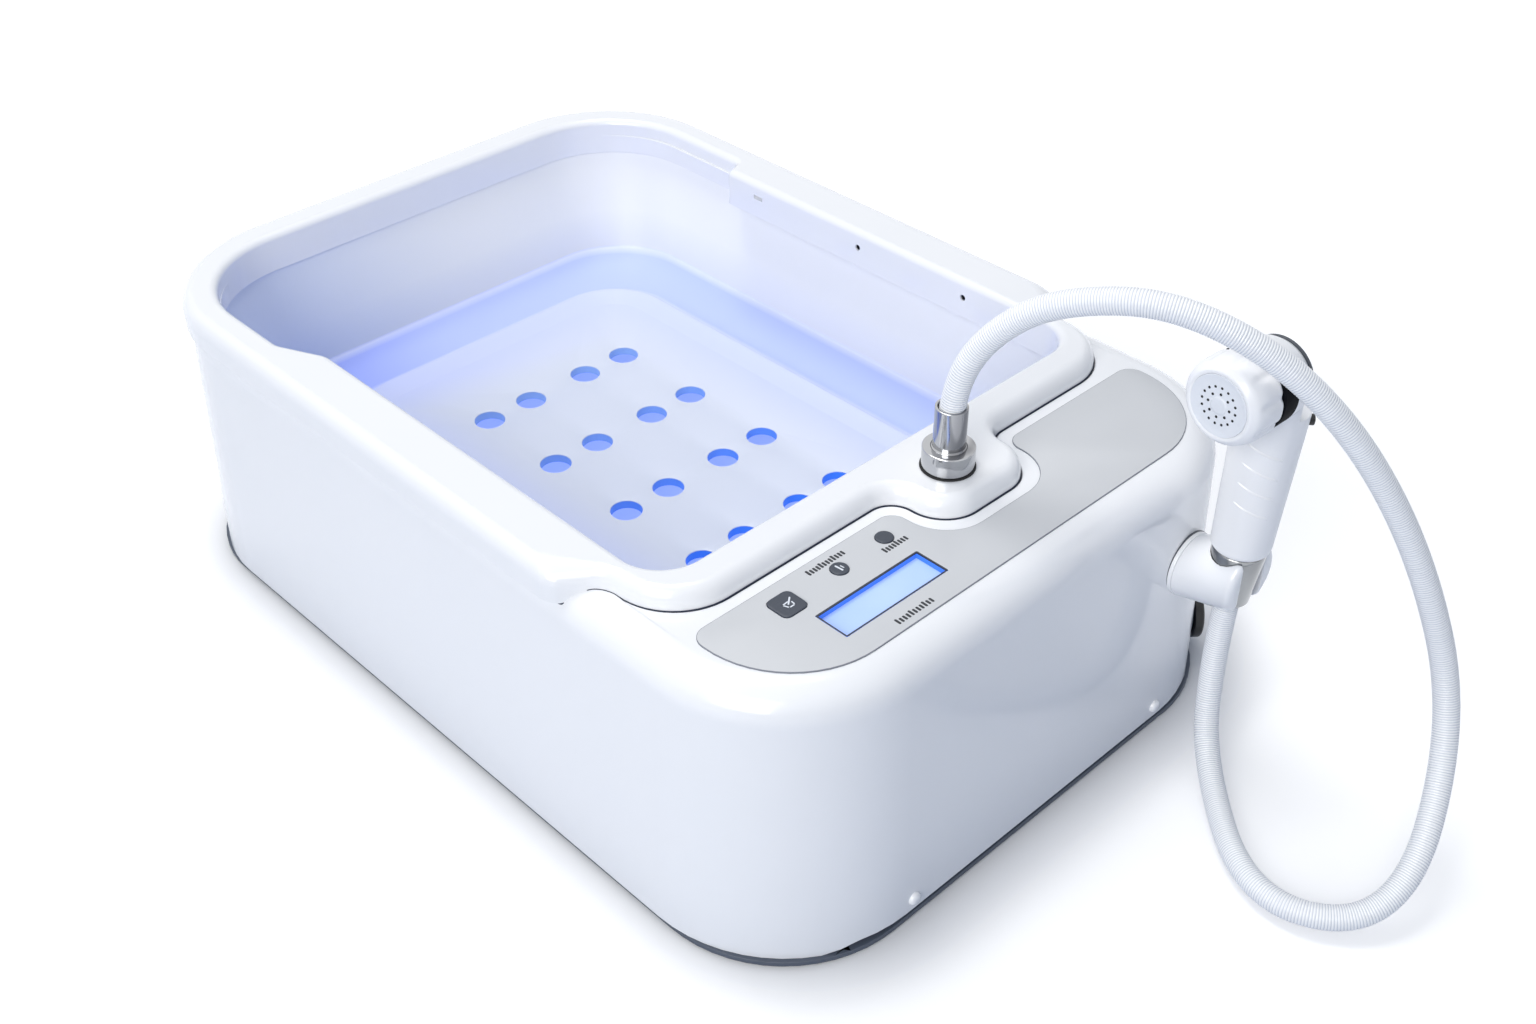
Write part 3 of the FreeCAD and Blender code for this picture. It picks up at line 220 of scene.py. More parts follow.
# Signs: strokes from a key's middle are (start, end, width), rows of ticks (place, shift, drop, count, pitch)
menu_strokes = (((-1.2, -3.2), (2.6, -3.2), 0.8), ((-1.2, -3.2), (-2.6, 0.4), 0.8),
                ((-2.6, 0.4), (1.0, 0.8), 0.8), ((2.6, -3.2), (2.9, -0.6), 0.8),
                ((0.2, -0.9), (4.4, 2.6), 0.9))
water_strokes = (((0.0, -2.2), (-0.4, 2.4), 1.1), ((1.9, -1.2), (1.7, 0.8), 0.7))
tick_rows = ((key_heat, 0.0, -9.2, 8, 2.3), (key_water, -1.5, 7.4, 12, 2.3), (lcd_at, 1.2, -22.3, 11, 2.5))
tick_long = 3.0
tick_short = 2.2
tick_width = 1.5
tick_group = 4
mark_sink = 0.05
mark_rise = 0.06

# Hose fitting on the pod
fitting_at = (10.0, -212.0)
fitting_bore = 6.0
gasket_bore = 6.4
gasket_radius = 15.8
gasket_top = 200.1
nut_foot = 200.0
nut_top = 212.6
nut_radius = 15.0
nut_mouth = 10.2
nut_seat = 211.0
ferrule_foot = 211.2
ferrule_top = 238.5
ferrule_collar = 10.1
ferrule_step = 1.2
ferrule_slope = 0.8
ferrule_radius = 9.3
ferrule_mouth = 7.8
ferrule_socket = 7.6
hose_stop = 226.0

# Ribbed hose
hose_radius = 7.4
rib_depth = 0.42
rib_pitch = 1.55
hose_route = [
    (10, -212, 223.5), (10, -212, 251), (20.5, -223.5, 283), (33, -256, 313.5), (56, -318, 328),
    (97.5, -380.5, 285), (140, -428, 193), (159.5, -467, 80), (67, -502, 13), (22.5, -435, 9),
    (101, -350, 9), (123.2, -332.4, 66), (125, -333.5, 111.3),
]

# Handle of the handset, with the ridges on its grip
grip_at = (125.0, -334.8, 149.8)
grip_tilt = 2.0
grip_yaw = -4.0
head_height = 118.7
handle_foot_radius = 17.3
handle_radius = 19.8
handle_taper = 91.0
handle_foot_edge = 2.6
handle_steps = 72
notch_start = -4.0
notch_end = 40.0
notch_half = 25.0
notch_drop = 20.8
notch_fall = 6.6
notch_over = 5.0
ridge_count = 4
ridge_foot = 36.0
ridge_pitch = 13.5
ridge_bearing = 212.0
ridge_span = 80.0
ridge_slant = 20.0
ridge_rise = 0.6
ridge_sink = 1.0
ridge_under = 1.6
ridge_crest = (-0.5, 0.2)
ridge_over = 2.4
ridge_fade = 0.2

# Head of the handset, along the spray's axis
ring_foot = 1.8
ring_top = 4.0
ring_radius = 20.8
dome_top = -1.2
dome_flat_radius = 10.0
dome_flat = -0.8
dome_edge_radius = 17.5
dome_edge = 0.6
dome_radius = 19.2
barrel_foot_radius = 20.2
barrel_radius = 22.8
barrel_flare = 8.5
stem_radius = 14.0
stem_top = 39.0
band_foot = 9.5
band_start = 18.0
band_top = 30.4
band_radius = 23.2
band_middle_radius = 23.45
band_crest_radius = 23.8
band_crest_drop = 0.6
grip_room = 19.6
grip_room_foot = 60.0
collar_foot = 30.7
collar_top = collar_foot + 23.5
collar_radius = 24.6
collar_bore = 14.05
collar_stop = 39.8
collar_back_radius = 23.1
collar_back = 2.5
collar_bend = 8.0
collar_front_radius = 23.2
collar_front = 3.4
collar_lip_radius = 19.6
collar_lip = 0.6
collar_mouth = 17.6
collar_floor = 3.7
collar_socket = 13.6
collar_steps = 200
flutes = 10
flute_depth = 1.1
flute_inner = 18.5
flute_end = collar_top - 3.5
flute_fade = 6.0
face_radius = 17.55
face_back = 3.6
face_sink = 0.2
face_middle = 4.4
face_groove_radius = 5.2
face_groove = 0.9
face_dish_radius = 14.5
face_dish = 0.7
nozzle_rings = ((16, 10.6), (8, 6.8))
nozzle_sink = 0.75
nozzle_profile = ((0.0, 0.04), (0.55, 0.06), (0.75, 0.1, 0.05), (0.85, -0.3))
stop_bearing = -45.0
stop_height = 88.5
stop_seat = 15.4
stop_radius = 3.2
stop_edge = 7.4
stop_dimple_radius = 1.6
stop_dimple = (7.2, 7.0)

# Conical nut under the handle, and the fork's seat for it
cone_foot = -38.3
cone_top = -3.3
cone_foot_radius = 11.2
cone_foot_edge = 0.8
cone_radius = 15.6
cone_shoulder = -1.1
cone_face = -0.3
cone_bore = 4.0
cone_neck = 7.5
cone_neck_top = 11.0
seat_gap = 0.2
seat_foot_radius = 12.2
seat_top = -2.0
seat_depth = -60.0
seat_room = 40.0

# Holder on the end wall
holder_z = 119.2
holder_radius = 20.0
holder_reach = 12.0
holder_rise = 11.0
holder_slot = 23.0
holder_slot_shift = -1.2
holder_lift = 12.5
holder_flare = 2.5
holder_nose = 5.5
holder_wall = -306.3
slot_block = (holder_slot, 60.0, 160.0)
under_block = (60.0, 120.0, 20.0)
under_shift = -58.0
plate_radius = 20.2
plate_depth = -4.0
plate_edge = 1.0
plate_seal = (18.0, 20.5)
plate_seal_z = (-3.6, -2.3)

# Plugs and drain
plug_x = 109.5
plug_z = 17.0
plug_profile = ((0, -4), (2.5, -4), (2.5, -0.6), (4.2, -0.4, 0.2), (4.2, 1.6, 1), (2.6, 2.8, 0.8), (0, 3))
drain_angle = 48.0
drain_at = (186.323, -275.269, 27.5)
drain_bore = 5.5
drain_pipe = 7.5
drain_flange = 12.0
drain_inside = -12.0
drain_flange_z = (-2.5, 1.6)
knob_radius = 16.0
knob_stem = 5.45
knob_inside = -7.1
knob_foot = 1.9
knob_top = 7.9
knob_bar = (5.0, 24.0, 2.6)
knob_bar_z = 8.4

# Floor and lamps, in metres but for the shift of the floor's shade
floor_half = 9.0
shade_shift = 15.0
lamp_aim = (0.0, 0.0, 0.1)


def tone(red, green, blue):
    """Colour given as it looks on a screen, 0 to 255, for a shader."""
    def linear(value):
        share = value / 255
        return share / 12.92 if share <= 0.04045 else ((share + 0.055) / 1.055) ** 2.4
    return (linear(red), linear(green), linear(blue), 1.0)


class Flow:
    """An output socket with arithmetic: an expression adds its Math nodes."""

    def __init__(self, tree, socket):
        self.tree = tree
        self.socket = socket

    def joined(self, operation, first, second=0.0):
        step = self.tree.nodes.new("ShaderNodeMath")
        step.operation = operation
        for slot, value in zip(step.inputs, (first, second)):
            if isinstance(value, Flow):
                self.tree.links.new(value.socket, slot)
            else:
                slot.default_value = value
        return Flow(self.tree, step.outputs[0])

    def __add__(self, other):
        return self.joined("ADD", self, other)

    def __radd__(self, other):
        return self.joined("ADD", other, self)

    def __sub__(self, other):
        return self.joined("SUBTRACT", self, other)

    def __rsub__(self, other):
        return self.joined("SUBTRACT", other, self)

    def __mul__(self, other):
        return self.joined("MULTIPLY", self, other)

    def __rmul__(self, other):
        return self.joined("MULTIPLY", other, self)

    def __abs__(self):
        return self.joined("ABSOLUTE", self)

    def at_least(self, other):
        return self.joined("MAXIMUM", self, other)

    def root(self):
        return self.joined("SQRT", self)


class Finish:
    """A procedural finish round one Principled shader."""

    def __init__(self, name, **constants):
        self.material = bpy.data.materials.new(name)
        self.material.use_nodes = True
        self.tree = self.material.node_tree
        self.shader = self.tree.nodes["Principled BSDF"]
        for socket, value in constants.items():
            self.shader.inputs[socket.replace("_", " ")].default_value = value
        self.place = self.node("ShaderNodeTexCoord", out="Object")

    def node(self, kind, settings=None, out=0, **inputs):
        """Any node: its settings first, then the values or links of its sockets, and the output asked for."""
        made = self.tree.nodes.new(kind)
        for key, value in (settings or {}).items():
            if key == "stops":
                self.set_stops(made.color_ramp, value)
            else:
                setattr(made, key, value)
        for key, value in inputs.items():
            slot = made.inputs[int(key[1:])] if key[0] == "_" else made.inputs[key.replace("_", " ")]
            if isinstance(value, Flow):
                self.tree.links.new(value.socket, slot)
            else:
                slot.default_value = value
        return Flow(self.tree, made.outputs[out])

    def set_stops(self, ramp, stops):
        """Stops of a ramp, as (place, colour)."""
        while len(ramp.elements) < len(stops):
            ramp.elements.new(1.0)
        for element, (place, colour) in zip(ramp.elements, stops):
            element.position = place
            element.color = colour

    def noise(self, scale, detail=3.0, stretch=(1, 1, 1)):
        """Noise in Object coordinates; scale is in cells a metre."""
        mapped = self.node("ShaderNodeMapping", _0=self.place, _3=stretch)
        return self.node("ShaderNodeTexNoise", Vector=mapped, Scale=scale, Detail=detail)

    def ramp(self, amount, *stops):
        return self.node("ShaderNodeValToRGB", {"stops": stops}, _0=amount)

    def blend(self, share, first, second):
        """Mix of two colours by a share; a Mix node's colours are its inputs 6 and 7 and its output 2."""
        return self.node("ShaderNodeMix", {"data_type": "RGBA"}, out=2, _0=share, _6=first, _7=second)

    def axis(self, name):
        """One coordinate of the place, in metres."""
        return self.node("ShaderNodeSeparateXYZ", out=name, _0=self.place)

    def between(self, value, low, high):
        """Share of the way from low to high, held within 0 and 1."""
        settings = {"interpolation_type": "SMOOTHSTEP"}
        return self.node("ShaderNodeMapRange", settings, Value=value, _1=low, _2=high)

    def relief(self, height, distance, strength):
        """Bump that feeds the shader's normal."""
        self.feed("Normal", self.node("ShaderNodeBump", Height=height, Distance=distance, Strength=strength))

    def feed(self, socket, value):
        self.tree.links.new(value.socket, self.shader.inputs[socket])


def moulded(name, colour, shade, rough, coat):
    """Moulded plastic: faint cloudiness, a rougher and a smoother gloss, and a fine moulded skin."""
    finish = Finish(name, Coat_Weight=coat, Coat_Roughness=0.05, IOR=1.47)
    cloud = finish.noise(scale=14.0)
    finish.feed("Base Color", finish.blend(cloud, colour, shade))
    finish.feed("Roughness", rough + finish.noise(scale=90.0) * (rough * 0.3))
    finish.relief(finish.noise(scale=1500.0, detail=2.0), distance=0.00001, strength=0.35)
    return finish.material


def metal(name, colour, rough):
    """Polished metal with painted dark and pale reflection streaks along its axis and faint turning marks
    round it.
    """
    finish = Finish(name, Metallic=1.0)
    # Painted reflections: slow bands along the axis darken the base colour as a reflected surround would.
    bands = finish.noise(scale=75.0, detail=0.0, stretch=(1.0, 1.0, 0.02))
    painted_reflection_streak = finish.between(bands, low=0.35, high=0.65)
    dark_reflection_tone = (colour[0] * 0.4, colour[1] * 0.4, colour[2] * 0.42, 1.0)
    finish.feed("Base Color", finish.blend(painted_reflection_streak, dark_reflection_tone, colour))
    marks = finish.noise(scale=300.0, detail=4.0, stretch=(0.15, 0.15, 4.0))
    finish.feed("Roughness", rough + marks * (rough * 1.1))
    finish.relief(marks, distance=0.000008, strength=0.3)
    return finish.material


def rubbery(name, colour, shade, shine=0.35):
    """Matt rubber with a dusty, uneven tone."""
    finish = Finish(name, Specular_IOR_Level=shine)
    finish.feed("Base Color", finish.blend(finish.noise(scale=60.0, detail=5.0), colour, shade))
    finish.feed("Roughness", 0.55 + finish.noise(scale=220.0) * 0.25)
    finish.relief(finish.noise(scale=2500.0, detail=2.0), distance=0.00003, strength=0.5)
    return finish.material


def grained(name, colour, shade, rough):
    """Matt plastic film or moulding with a fine grain."""
    finish = Finish(name)
    finish.feed("Base Color", finish.blend(finish.noise(scale=35.0, detail=4.0), colour, shade))
    finish.feed("Roughness", rough + finish.noise(scale=400.0) * 0.12)
    finish.relief(finish.noise(scale=3200.0, detail=2.0), distance=0.00002, strength=0.5)
    return finish.material


def well_finish():
    """Wall of the foot well, all painted light: white above with a painted tint of the blue light lower down,
    a painted shaded copy on the left, painted blue light on the ledge with painted highlight lines at its
    edges, and a painted glow on the ledge and in the sump.
    """
    finish = Finish("lit_liner", Coat_Weight=0.4, Coat_Roughness=0.08, Emission_Strength=1.0)
    height = finish.axis("Z")
    across = finish.axis("X")
    rise = finish.between(height, low=0.094, high=0.182)
    # Painted shade: the left side of the wall gets a darker, bluer shaded copy of the lit wall.
    lit_wall = finish.ramp(rise, (0.0, tone(224, 228, 238)), (0.35, tone(238, 240, 242)),
                           (1.0, tone(244, 245, 245)))
    shaded_wall = finish.ramp(rise, (0.0, tone(200, 214, 246)), (0.35, tone(208, 219, 245)),
                              (1.0, tone(214, 223, 243)))
    wall = finish.blend(finish.between(across, low=-0.19, high=0.06), shaded_wall, lit_wall)
    # Painted blue light on the ledge, darker in a shaded copy on the left; the pale stops at both ends of its
    # ramp are painted highlight lines on its edges.
    ledge_rise = finish.between(height, low=0.0938, high=0.1004)
    shaded_ledge = finish.ramp(ledge_rise, (0.0, tone(214, 222, 248)), (0.05, tone(146, 165, 240)),
                               (0.9, tone(138, 158, 240)), (1.0, tone(206, 216, 248)))
    lit_ledge = finish.ramp(ledge_rise, (0.0, tone(222, 228, 248)), (0.05, tone(181, 195, 243)),
                            (0.9, tone(175, 190, 243)), (1.0, tone(214, 222, 248)))
    ledge = finish.blend(finish.between(across, low=-0.16, high=0.0), shaded_ledge, lit_ledge)
    on_ledge = finish.between(height, low=0.1022, high=0.1006)
    in_sump = finish.between(height, low=0.0925, high=0.0905)
    colour = finish.blend(on_ledge, wall, ledge)
    # Painted blue light in the sump.
    finish.feed("Base Color", finish.blend(in_sump, colour, tone(186, 198, 240)))
    # Painted glow: the ledge and the sump give out blue light, though they are no lamps.
    ledge_light = finish.blend(on_ledge, NO_LIGHT, (0.03, 0.035, 0.13, 1.0))
    finish.feed("Emission Color", finish.blend(in_sump, ledge_light, tone(120, 137, 188)))
    finish.feed("Roughness", 0.3 + finish.noise(scale=30.0) * 0.02)
    return finish.material


def tray_finish():
    """Foot tray: pale, with a painted pool of blue light towards its edges, glowing there as well."""
    finish = Finish("tray_plate", Coat_Weight=0.25, Coat_Roughness=0.12, Emission_Strength=1.0)
    middle = (tray_front + tray_back) / 2 * MM
    side = finish.between(abs(finish.axis("X")), low=0.060, high=0.125)
    end = finish.between(abs(finish.axis("Y") - middle), low=0.110, high=0.180)
    edge = side.at_least(end)
    # Painted light: the edges are bluer and glow, standing in for the pooled blue light.
    finish.feed("Base Color", finish.blend(edge, tone(214, 220, 234), tone(201, 209, 240)))
    finish.feed("Emission Color", finish.blend(edge, tone(16, 18, 30), tone(40, 46, 92)))
    finish.feed("Roughness", 0.34 + finish.noise(scale=120.0) * 0.1)
    finish.relief(finish.noise(scale=900.0, detail=2.0), distance=0.00003, strength=0.4)
    return finish.material


def glow(name, low, high, strength):
    """Back-lit plastic with a slow change of tone."""
    finish = Finish(name, Emission_Strength=strength, Roughness=0.35)
    colour = finish.blend(finish.noise(scale=18.0), low, high)
    finish.feed("Base Color", colour)
    finish.feed("Emission Color", colour)
    return finish.material


def hole_finish():
    """Sleeves of the tray's holes: painted blue light that glows, pale at the heel end and deep blue towards
    the control end.
    """
    finish = Finish("hole_sleeve", Emission_Strength=0.3, Roughness=0.4)
    near = finish.between(finish.axis("Y"), low=0.14, high=-0.09)
    # Painted light: the sleeves' blue and their glow stand in for the light under the tray.
    colour = finish.blend(near, tone(132, 164, 212), tone(58, 122, 222))
    finish.feed("Base Color", colour)
    finish.feed("Emission Color", colour)
    return finish.material


def hose_finish():
    """White ribbed hose: painted shade of grey in the furrows along its own rib attribute, with a fine braid.
    """
    finish = Finish("hose_ribs", Coat_Weight=0.25, Coat_Roughness=0.15, Sheen_Weight=0.15)
    furrow = finish.node("ShaderNodeAttribute", {"attribute_name": "furrow"}, out="Fac")
    # Painted shade: the furrows are greyer where they lie deeper.
    finish.feed("Base Color", finish.blend(furrow, tone(248, 249, 250), tone(194, 200, 211)))
    finish.feed("Roughness", 0.36 + furrow * 0.2)
    finish.relief(finish.noise(scale=1400.0, detail=2.0), distance=0.00004, strength=0.5)
    return finish.material


white = moulded("gloss_white", tone(239, 240, 243), tone(236, 238, 241), rough=0.2, coat=0.55)
grip_white = moulded("handset_white", tone(248, 248, 249), tone(243, 244, 246), rough=0.3, coat=0.35)
base_dark = grained("base_grey", tone(84, 92, 106), tone(72, 80, 94), rough=0.45)
panel_grey = grained("panel_film", tone(203, 205, 208), tone(200, 202, 205), rough=0.55)
panel_edge_shade = grained("panel_edge", tone(128, 132, 142), tone(118, 122, 132), rough=0.5)
key_dark = grained("key_slate", tone(52, 60, 74), tone(44, 52, 65), rough=0.4)
mark_pale = grained("key_mark", tone(228, 233, 240), tone(218, 224, 233), rough=0.5)
mark_dark = grained("panel_mark", tone(32, 36, 44), tone(26, 30, 38), rough=0.5)
lcd_floor = glow("display_floor", tone(150, 178, 236), tone(178, 200, 244), strength=0.32)
lcd_wall = glow("display_wall", tone(64, 122, 222), tone(54, 110, 214), strength=0.4)
lcd_line = grained("display_frame", tone(30, 36, 52), tone(24, 30, 44), rough=0.35)
steel = metal("polished_steel", (0.52, 0.53, 0.55, 1.0), rough=0.08)
# Painted shade: a darker copy of the polished steel, for the cone nut under the handle.
steel_shaded_copy = metal("shaded_steel", (0.36, 0.37, 0.38, 1.0), rough=0.1)
seal_dark = rubbery("rim_joint", tone(58, 64, 82), tone(50, 56, 74))
rubber = rubbery("black_rubber", tone(30, 31, 34), tone(22, 23, 26))
band_black = rubbery("band_black", tone(13, 15, 21), tone(10, 11, 16), shine=0.06)
black = moulded("gloss_black", tone(15, 16, 21), tone(11, 12, 16), rough=0.3, coat=0.12)
trim_dark = grained("trim_grey", tone(74, 79, 88), tone(64, 69, 78), rough=0.4)
face_grey = grained("spray_face", tone(234, 237, 242), tone(228, 232, 238), rough=0.4)
well = well_finish()
tray_plate = tray_finish()
hole_painted_light = hole_finish()
hose_white = hose_finish()
brass = metal("spigot_brass", (0.62, 0.46, 0.2, 1.0), rough=0.25)
board_green = grained("board_green", tone(58, 120, 76), tone(46, 104, 64), rough=0.5)
motor_grey = grained("motor_paint", tone(96, 100, 106), tone(84, 88, 95), rough=0.45)
heater_grey = metal("heater_plate", (0.6, 0.61, 0.63, 1.0), rough=0.3)


def made(bm, name, finishes, body, slot, *replaced, sharp=32):
    """Turn a mesh in millimetres into a named piece that rides on a body and stands for CAD nodes."""
    bmesh.ops.remove_doubles(bm, verts=bm.verts, dist=WELD)
    bmesh.ops.recalc_face_normals(bm, faces=bm.faces)
    bmesh.ops.scale(bm, vec=(MM, MM, MM), verts=bm.verts)
    mesh = bpy.data.meshes.new(name)
    bm.to_mesh(mesh)
    bm.free()
    mesh.shade_smooth()
    mesh.set_sharp_from_angle(angle=math.radians(sharp))
    for finish in finishes:
        mesh.materials.append(finish)
    piece = bpy.data.objects.new(name, mesh)
    bpy.context.scene.collection.objects.link(piece)
    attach(piece, body)
    if replaced:
        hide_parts(*replaced)


def clamped(value):
    return max(0.0, min(1.0, value))


def tilted(degrees, axis):
    """Rotation about an axis through the origin."""
    return Matrix.Rotation(math.radians(degrees), 4, axis)


def new_edges(bm, before):
    return [edge for edge in bm.edges if edge not in before]


def rounded_vert(bm, vert, reach, steps):
    bmesh.ops.bevel(bm, geom=[vert], offset=reach, segments=steps, profile=0.5, affect="VERTICES",
                    offset_type="OFFSET", material=-1)


def outline(bm, corners, z, steps=CORNER_STEPS):
    """Closed wire through corners (x, y, radius) at a height, each corner rounded. Gives its edges."""
    before = set(bm.edges)
    verts = [bm.verts.new((x, y, z)) for x, y, radius in corners]
    following = verts[1:] + verts[:1]
    for first, second in zip(verts, following):
        bm.edges.new((first, second))
    reaches = []
    for last, vert, after, corner in zip(verts[-1:] + verts[:-1], verts, following, corners):
        half = (last.co - vert.co).angle(after.co - vert.co) / 2
        reaches.append(corner[2] / math.tan(half))
    for vert, reach in zip(verts, reaches):
        if reach > WELD:
            rounded_vert(bm, vert, reach, steps)
    return new_edges(bm, before)


def circle(bm, x, y, z, radius, steps=40):
    """Closed round wire. Gives its edges."""
    before = set(bm.edges)
    bmesh.ops.create_circle(bm, cap_ends=False, segments=steps, radius=radius,
                            matrix=Matrix.Translation((x, y, z)))
    return new_edges(bm, before)


def grown(corners, amount):
    """Outline moved outwards by amount, with its corner radii to match."""
    points = [Vector(corner[:2]) for corner in corners]
    following = points[1:] + points[:1]
    side = math.copysign(1, sum(a.cross(b) for a, b in zip(points, following)))
    moved = []
    for last, point, after, corner in zip(points[-1:] + points[:-1], points, following, corners):
        way_in = (point - last).normalized()
        way_out = (after - point).normalized()
        out_in = Vector((way_in.y, -way_in.x)) * side
        out_on = Vector((way_out.y, -way_out.x)) * side
        place = point + (out_in + out_on) * (amount / (1 + out_in.dot(out_on)))
        swell = amount if way_in.cross(way_out) * side > 0 else -amount
        radius = max(corner[2] + swell, LEAST_RADIUS) if corner[2] else 0
        moved.append((place.x, place.y, radius))
    return moved


def oblong(half_x, front, back, front_radius, back_radius):
    """Corners of a rounded rectangle centred across."""
    return [(half_x, front, front_radius), (half_x, back, back_radius),
            (-half_x, back, back_radius), (-half_x, front, front_radius)]


def around(centre, half_x, half_y, radius):
    """Corners of a rounded rectangle round a point."""
    x, y = centre
    return [(x + half_x, y - half_y, radius), (x + half_x, y + half_y, radius),
            (x - half_x, y + half_y, radius), (x - half_x, y - half_y, radius)]


def skin(bm, loops):
    """Surface through closed wires of one count, in order."""
    for first, second in zip(loops, loops[1:]):
        bmesh.ops.bridge_loops(bm, edges=first + second)


def fill(bm, *loops):
    """Flat surface inside the first wire and outside the others."""
    edges = [edge for loop in loops for edge in loop]
    bmesh.ops.triangle_fill(bm, use_beauty=True, use_dissolve=False, edges=edges)


def quarter(radius, steps=7):
    """Inset and drop of a rounded edge, from the wall up to the flat top."""
    for i in range(steps + 1):
        angle = math.pi / 2 * i / steps
        yield radius * (1 - math.cos(angle)), radius * (1 - math.sin(angle))


def turned(points, steps=ROUND_STEPS, matrix=None, bm=None, angle=FULL_TURN):
    """Spun surface about Z of (radius, height) points, some with a rounding as well, placed by a matrix."""
    part = bmesh.new()
    verts = [part.verts.new((point[0], 0, point[1])) for point in points]
    for first, second in zip(verts, verts[1:]):
        part.edges.new((first, second))
    for vert, point in zip(verts, points):
        if len(point) > 2:
            rounded_vert(part, vert, point[2], PROFILE_STEPS)
    bmesh.ops.spin(part, geom=part.verts[:] + part.edges[:], cent=(0, 0, 0), axis=(0, 0, 1), angle=angle,
                   steps=steps, use_merge=angle == FULL_TURN)
    bmesh.ops.remove_doubles(part, verts=part.verts, dist=WELD)
    bmesh.ops.recalc_face_normals(part, faces=part.faces)
    if matrix:
        bmesh.ops.transform(part, matrix=matrix, verts=part.verts)
    return joined(bm, part)


def joined(bm, part):
    """Add a mesh to another, if there is one."""
    if bm is None:
        return part
    held = bpy.data.meshes.new("held")
    part.to_mesh(held)
    part.free()
    bm.from_mesh(held)
    bpy.data.meshes.remove(held)
    return bm


def block(size, centre, bevel=0.0, matrix=None, bm=None):
    """Box with rounded edges."""
    part = bmesh.new()
    bmesh.ops.create_cube(part, size=1.0)
    bmesh.ops.scale(part, vec=size, verts=part.verts)
    if bevel:
        bmesh.ops.bevel(part, geom=part.edges[:], offset=bevel, segments=3, profile=0.5, affect="EDGES",
                        material=-1)
    bmesh.ops.translate(part, vec=centre, verts=part.verts)
    if matrix:
        bmesh.ops.transform(part, matrix=matrix, verts=part.verts)
    return joined(bm, part)


def held_object(bm):
    """Short-lived object of a mesh, for a modifier."""
    mesh = bpy.data.meshes.new("held")
    bm.to_mesh(mesh)
    bm.free()
    thing = bpy.data.objects.new("held", mesh)
    bpy.context.scene.collection.objects.link(thing)
    return thing


def let_go(thing):
    mesh = thing.data
    bpy.data.objects.remove(thing)
    bpy.data.meshes.remove(mesh)


def seen_mesh(thing):
    """Mesh of an object as its modifiers or its curve make it."""
    bpy.context.view_layer.update()
    return bpy.data.meshes.new_from_object(thing.evaluated_get(bpy.context.evaluated_depsgraph_get()))


def worked(thing):
    """Mesh of an object with its modifiers, as a new bmesh."""
    mesh = seen_mesh(thing)
    bm = bmesh.new()
    bm.from_mesh(mesh)
    bpy.data.meshes.remove(mesh)
    return bm


def combined(bm, operation, *tools):
    """One mesh cut by, or joined with, others."""
    thing = held_object(bm)
    helpers = [held_object(tool) for tool in tools]
    for helper in helpers:
        step = thing.modifiers.new("step", "BOOLEAN")
        step.operation = operation
        step.solver = "EXACT"
        step.object = helper
    result = worked(thing)
    for helper in helpers + [thing]:
        let_go(helper)
    return result


def softened(bm, voxel, rounds):
    """Mesh made even and its edges eased."""
    thing = held_object(bm)
    step = thing.modifiers.new("step", "REMESH")
    step.mode = "VOXEL"
    step.voxel_size = voxel
    result = worked(thing)
    let_go(thing)
    for i in range(rounds):
        bmesh.ops.smooth_vert(result, verts=result.verts, factor=0.5, use_axis_x=True, use_axis_y=True,
                              use_axis_z=True)
    return result


def paint(bm, index, chosen):
    """Give the faces that a test picks a finish of the piece."""
    for face in bm.faces:
        if chosen(face):
            face.material_index = index


# Casing: drafted wall with a shallow arch at the front foot, a rounded shoulder and the deck
def flare_at(z):
    """How far the drafted wall stands outside its size at the deck."""
    return foot_flare * (deck_top - z) / (deck_top - casing_foot)


def casing_corners(spread):
    """Plan of the casing."""
    radius = corner_radius + spread
    end = half_length + spread
    return oblong(half_width + spread, -end, end, radius, radius)


def deck_hole():
    """Plan of the deck's opening, a gap outside the rim's front and its pod."""
    front = rim_front - deck_gap
    pod_front = front - pod_reach
    left = pod_x - pod_half - deck_gap
    right = pod_x + pod_half + deck_gap
    neck = pod_neck_turn - deck_gap
    turn = pod_turn + deck_gap
    return [(hole_half, hole_back, hole_turn), (-hole_half, hole_back, hole_turn),
            (-hole_half, front, rim_turn), (left, front, neck), (left, pod_front, turn),
            (right, pod_front, turn), (right, front, neck), (hole_half, front, rim_turn)]


def display_gap():
    """Plan of the opening for the display."""
    return around(lcd_at, lcd_half[0] + lcd_gap, lcd_half[1] + lcd_gap, lcd_gap_turn)


def make_casing():
    bm = bmesh.new()
    inner = foot_flare - wall_thick
    levels = ((inner, wall_foot + wall_return), (inner, wall_foot), (foot_flare, wall_foot))
    loops = [outline(bm, casing_corners(spread), z) for spread, z in levels]
    for foot in loops[1:]:
        for vert in {v for edge in foot for v in edge.verts}:
            if vert.co.y < 0:
                vert.co.z += arch_rise * clamped((arch_half + arch_slope - abs(vert.co.x)) / arch_slope)
    for inset, drop in quarter(shoulder, steps=12):
        z = deck_top - drop
        loops.append(outline(bm, casing_corners(flare_at(z) - inset), z))
    skin(bm, loops)
    lip = outline(bm, grown(deck_hole(), deck_lip), deck_top)
    edge = outline(bm, deck_hole(), deck_top - deck_lip)
    under = outline(bm, deck_hole(), rim_seat - deck_return)
    pit = [outline(bm, display_gap(), z, steps=4) for z in (deck_top, deck_top - lcd_pit)]
    fill(bm, loops[-1], lip, pit[0])
    skin(bm, [lip, edge, under])
    skin(bm, pit)
    made(bm, "casing_shell", [white], "basin", "white_gloss", "outer_casing")


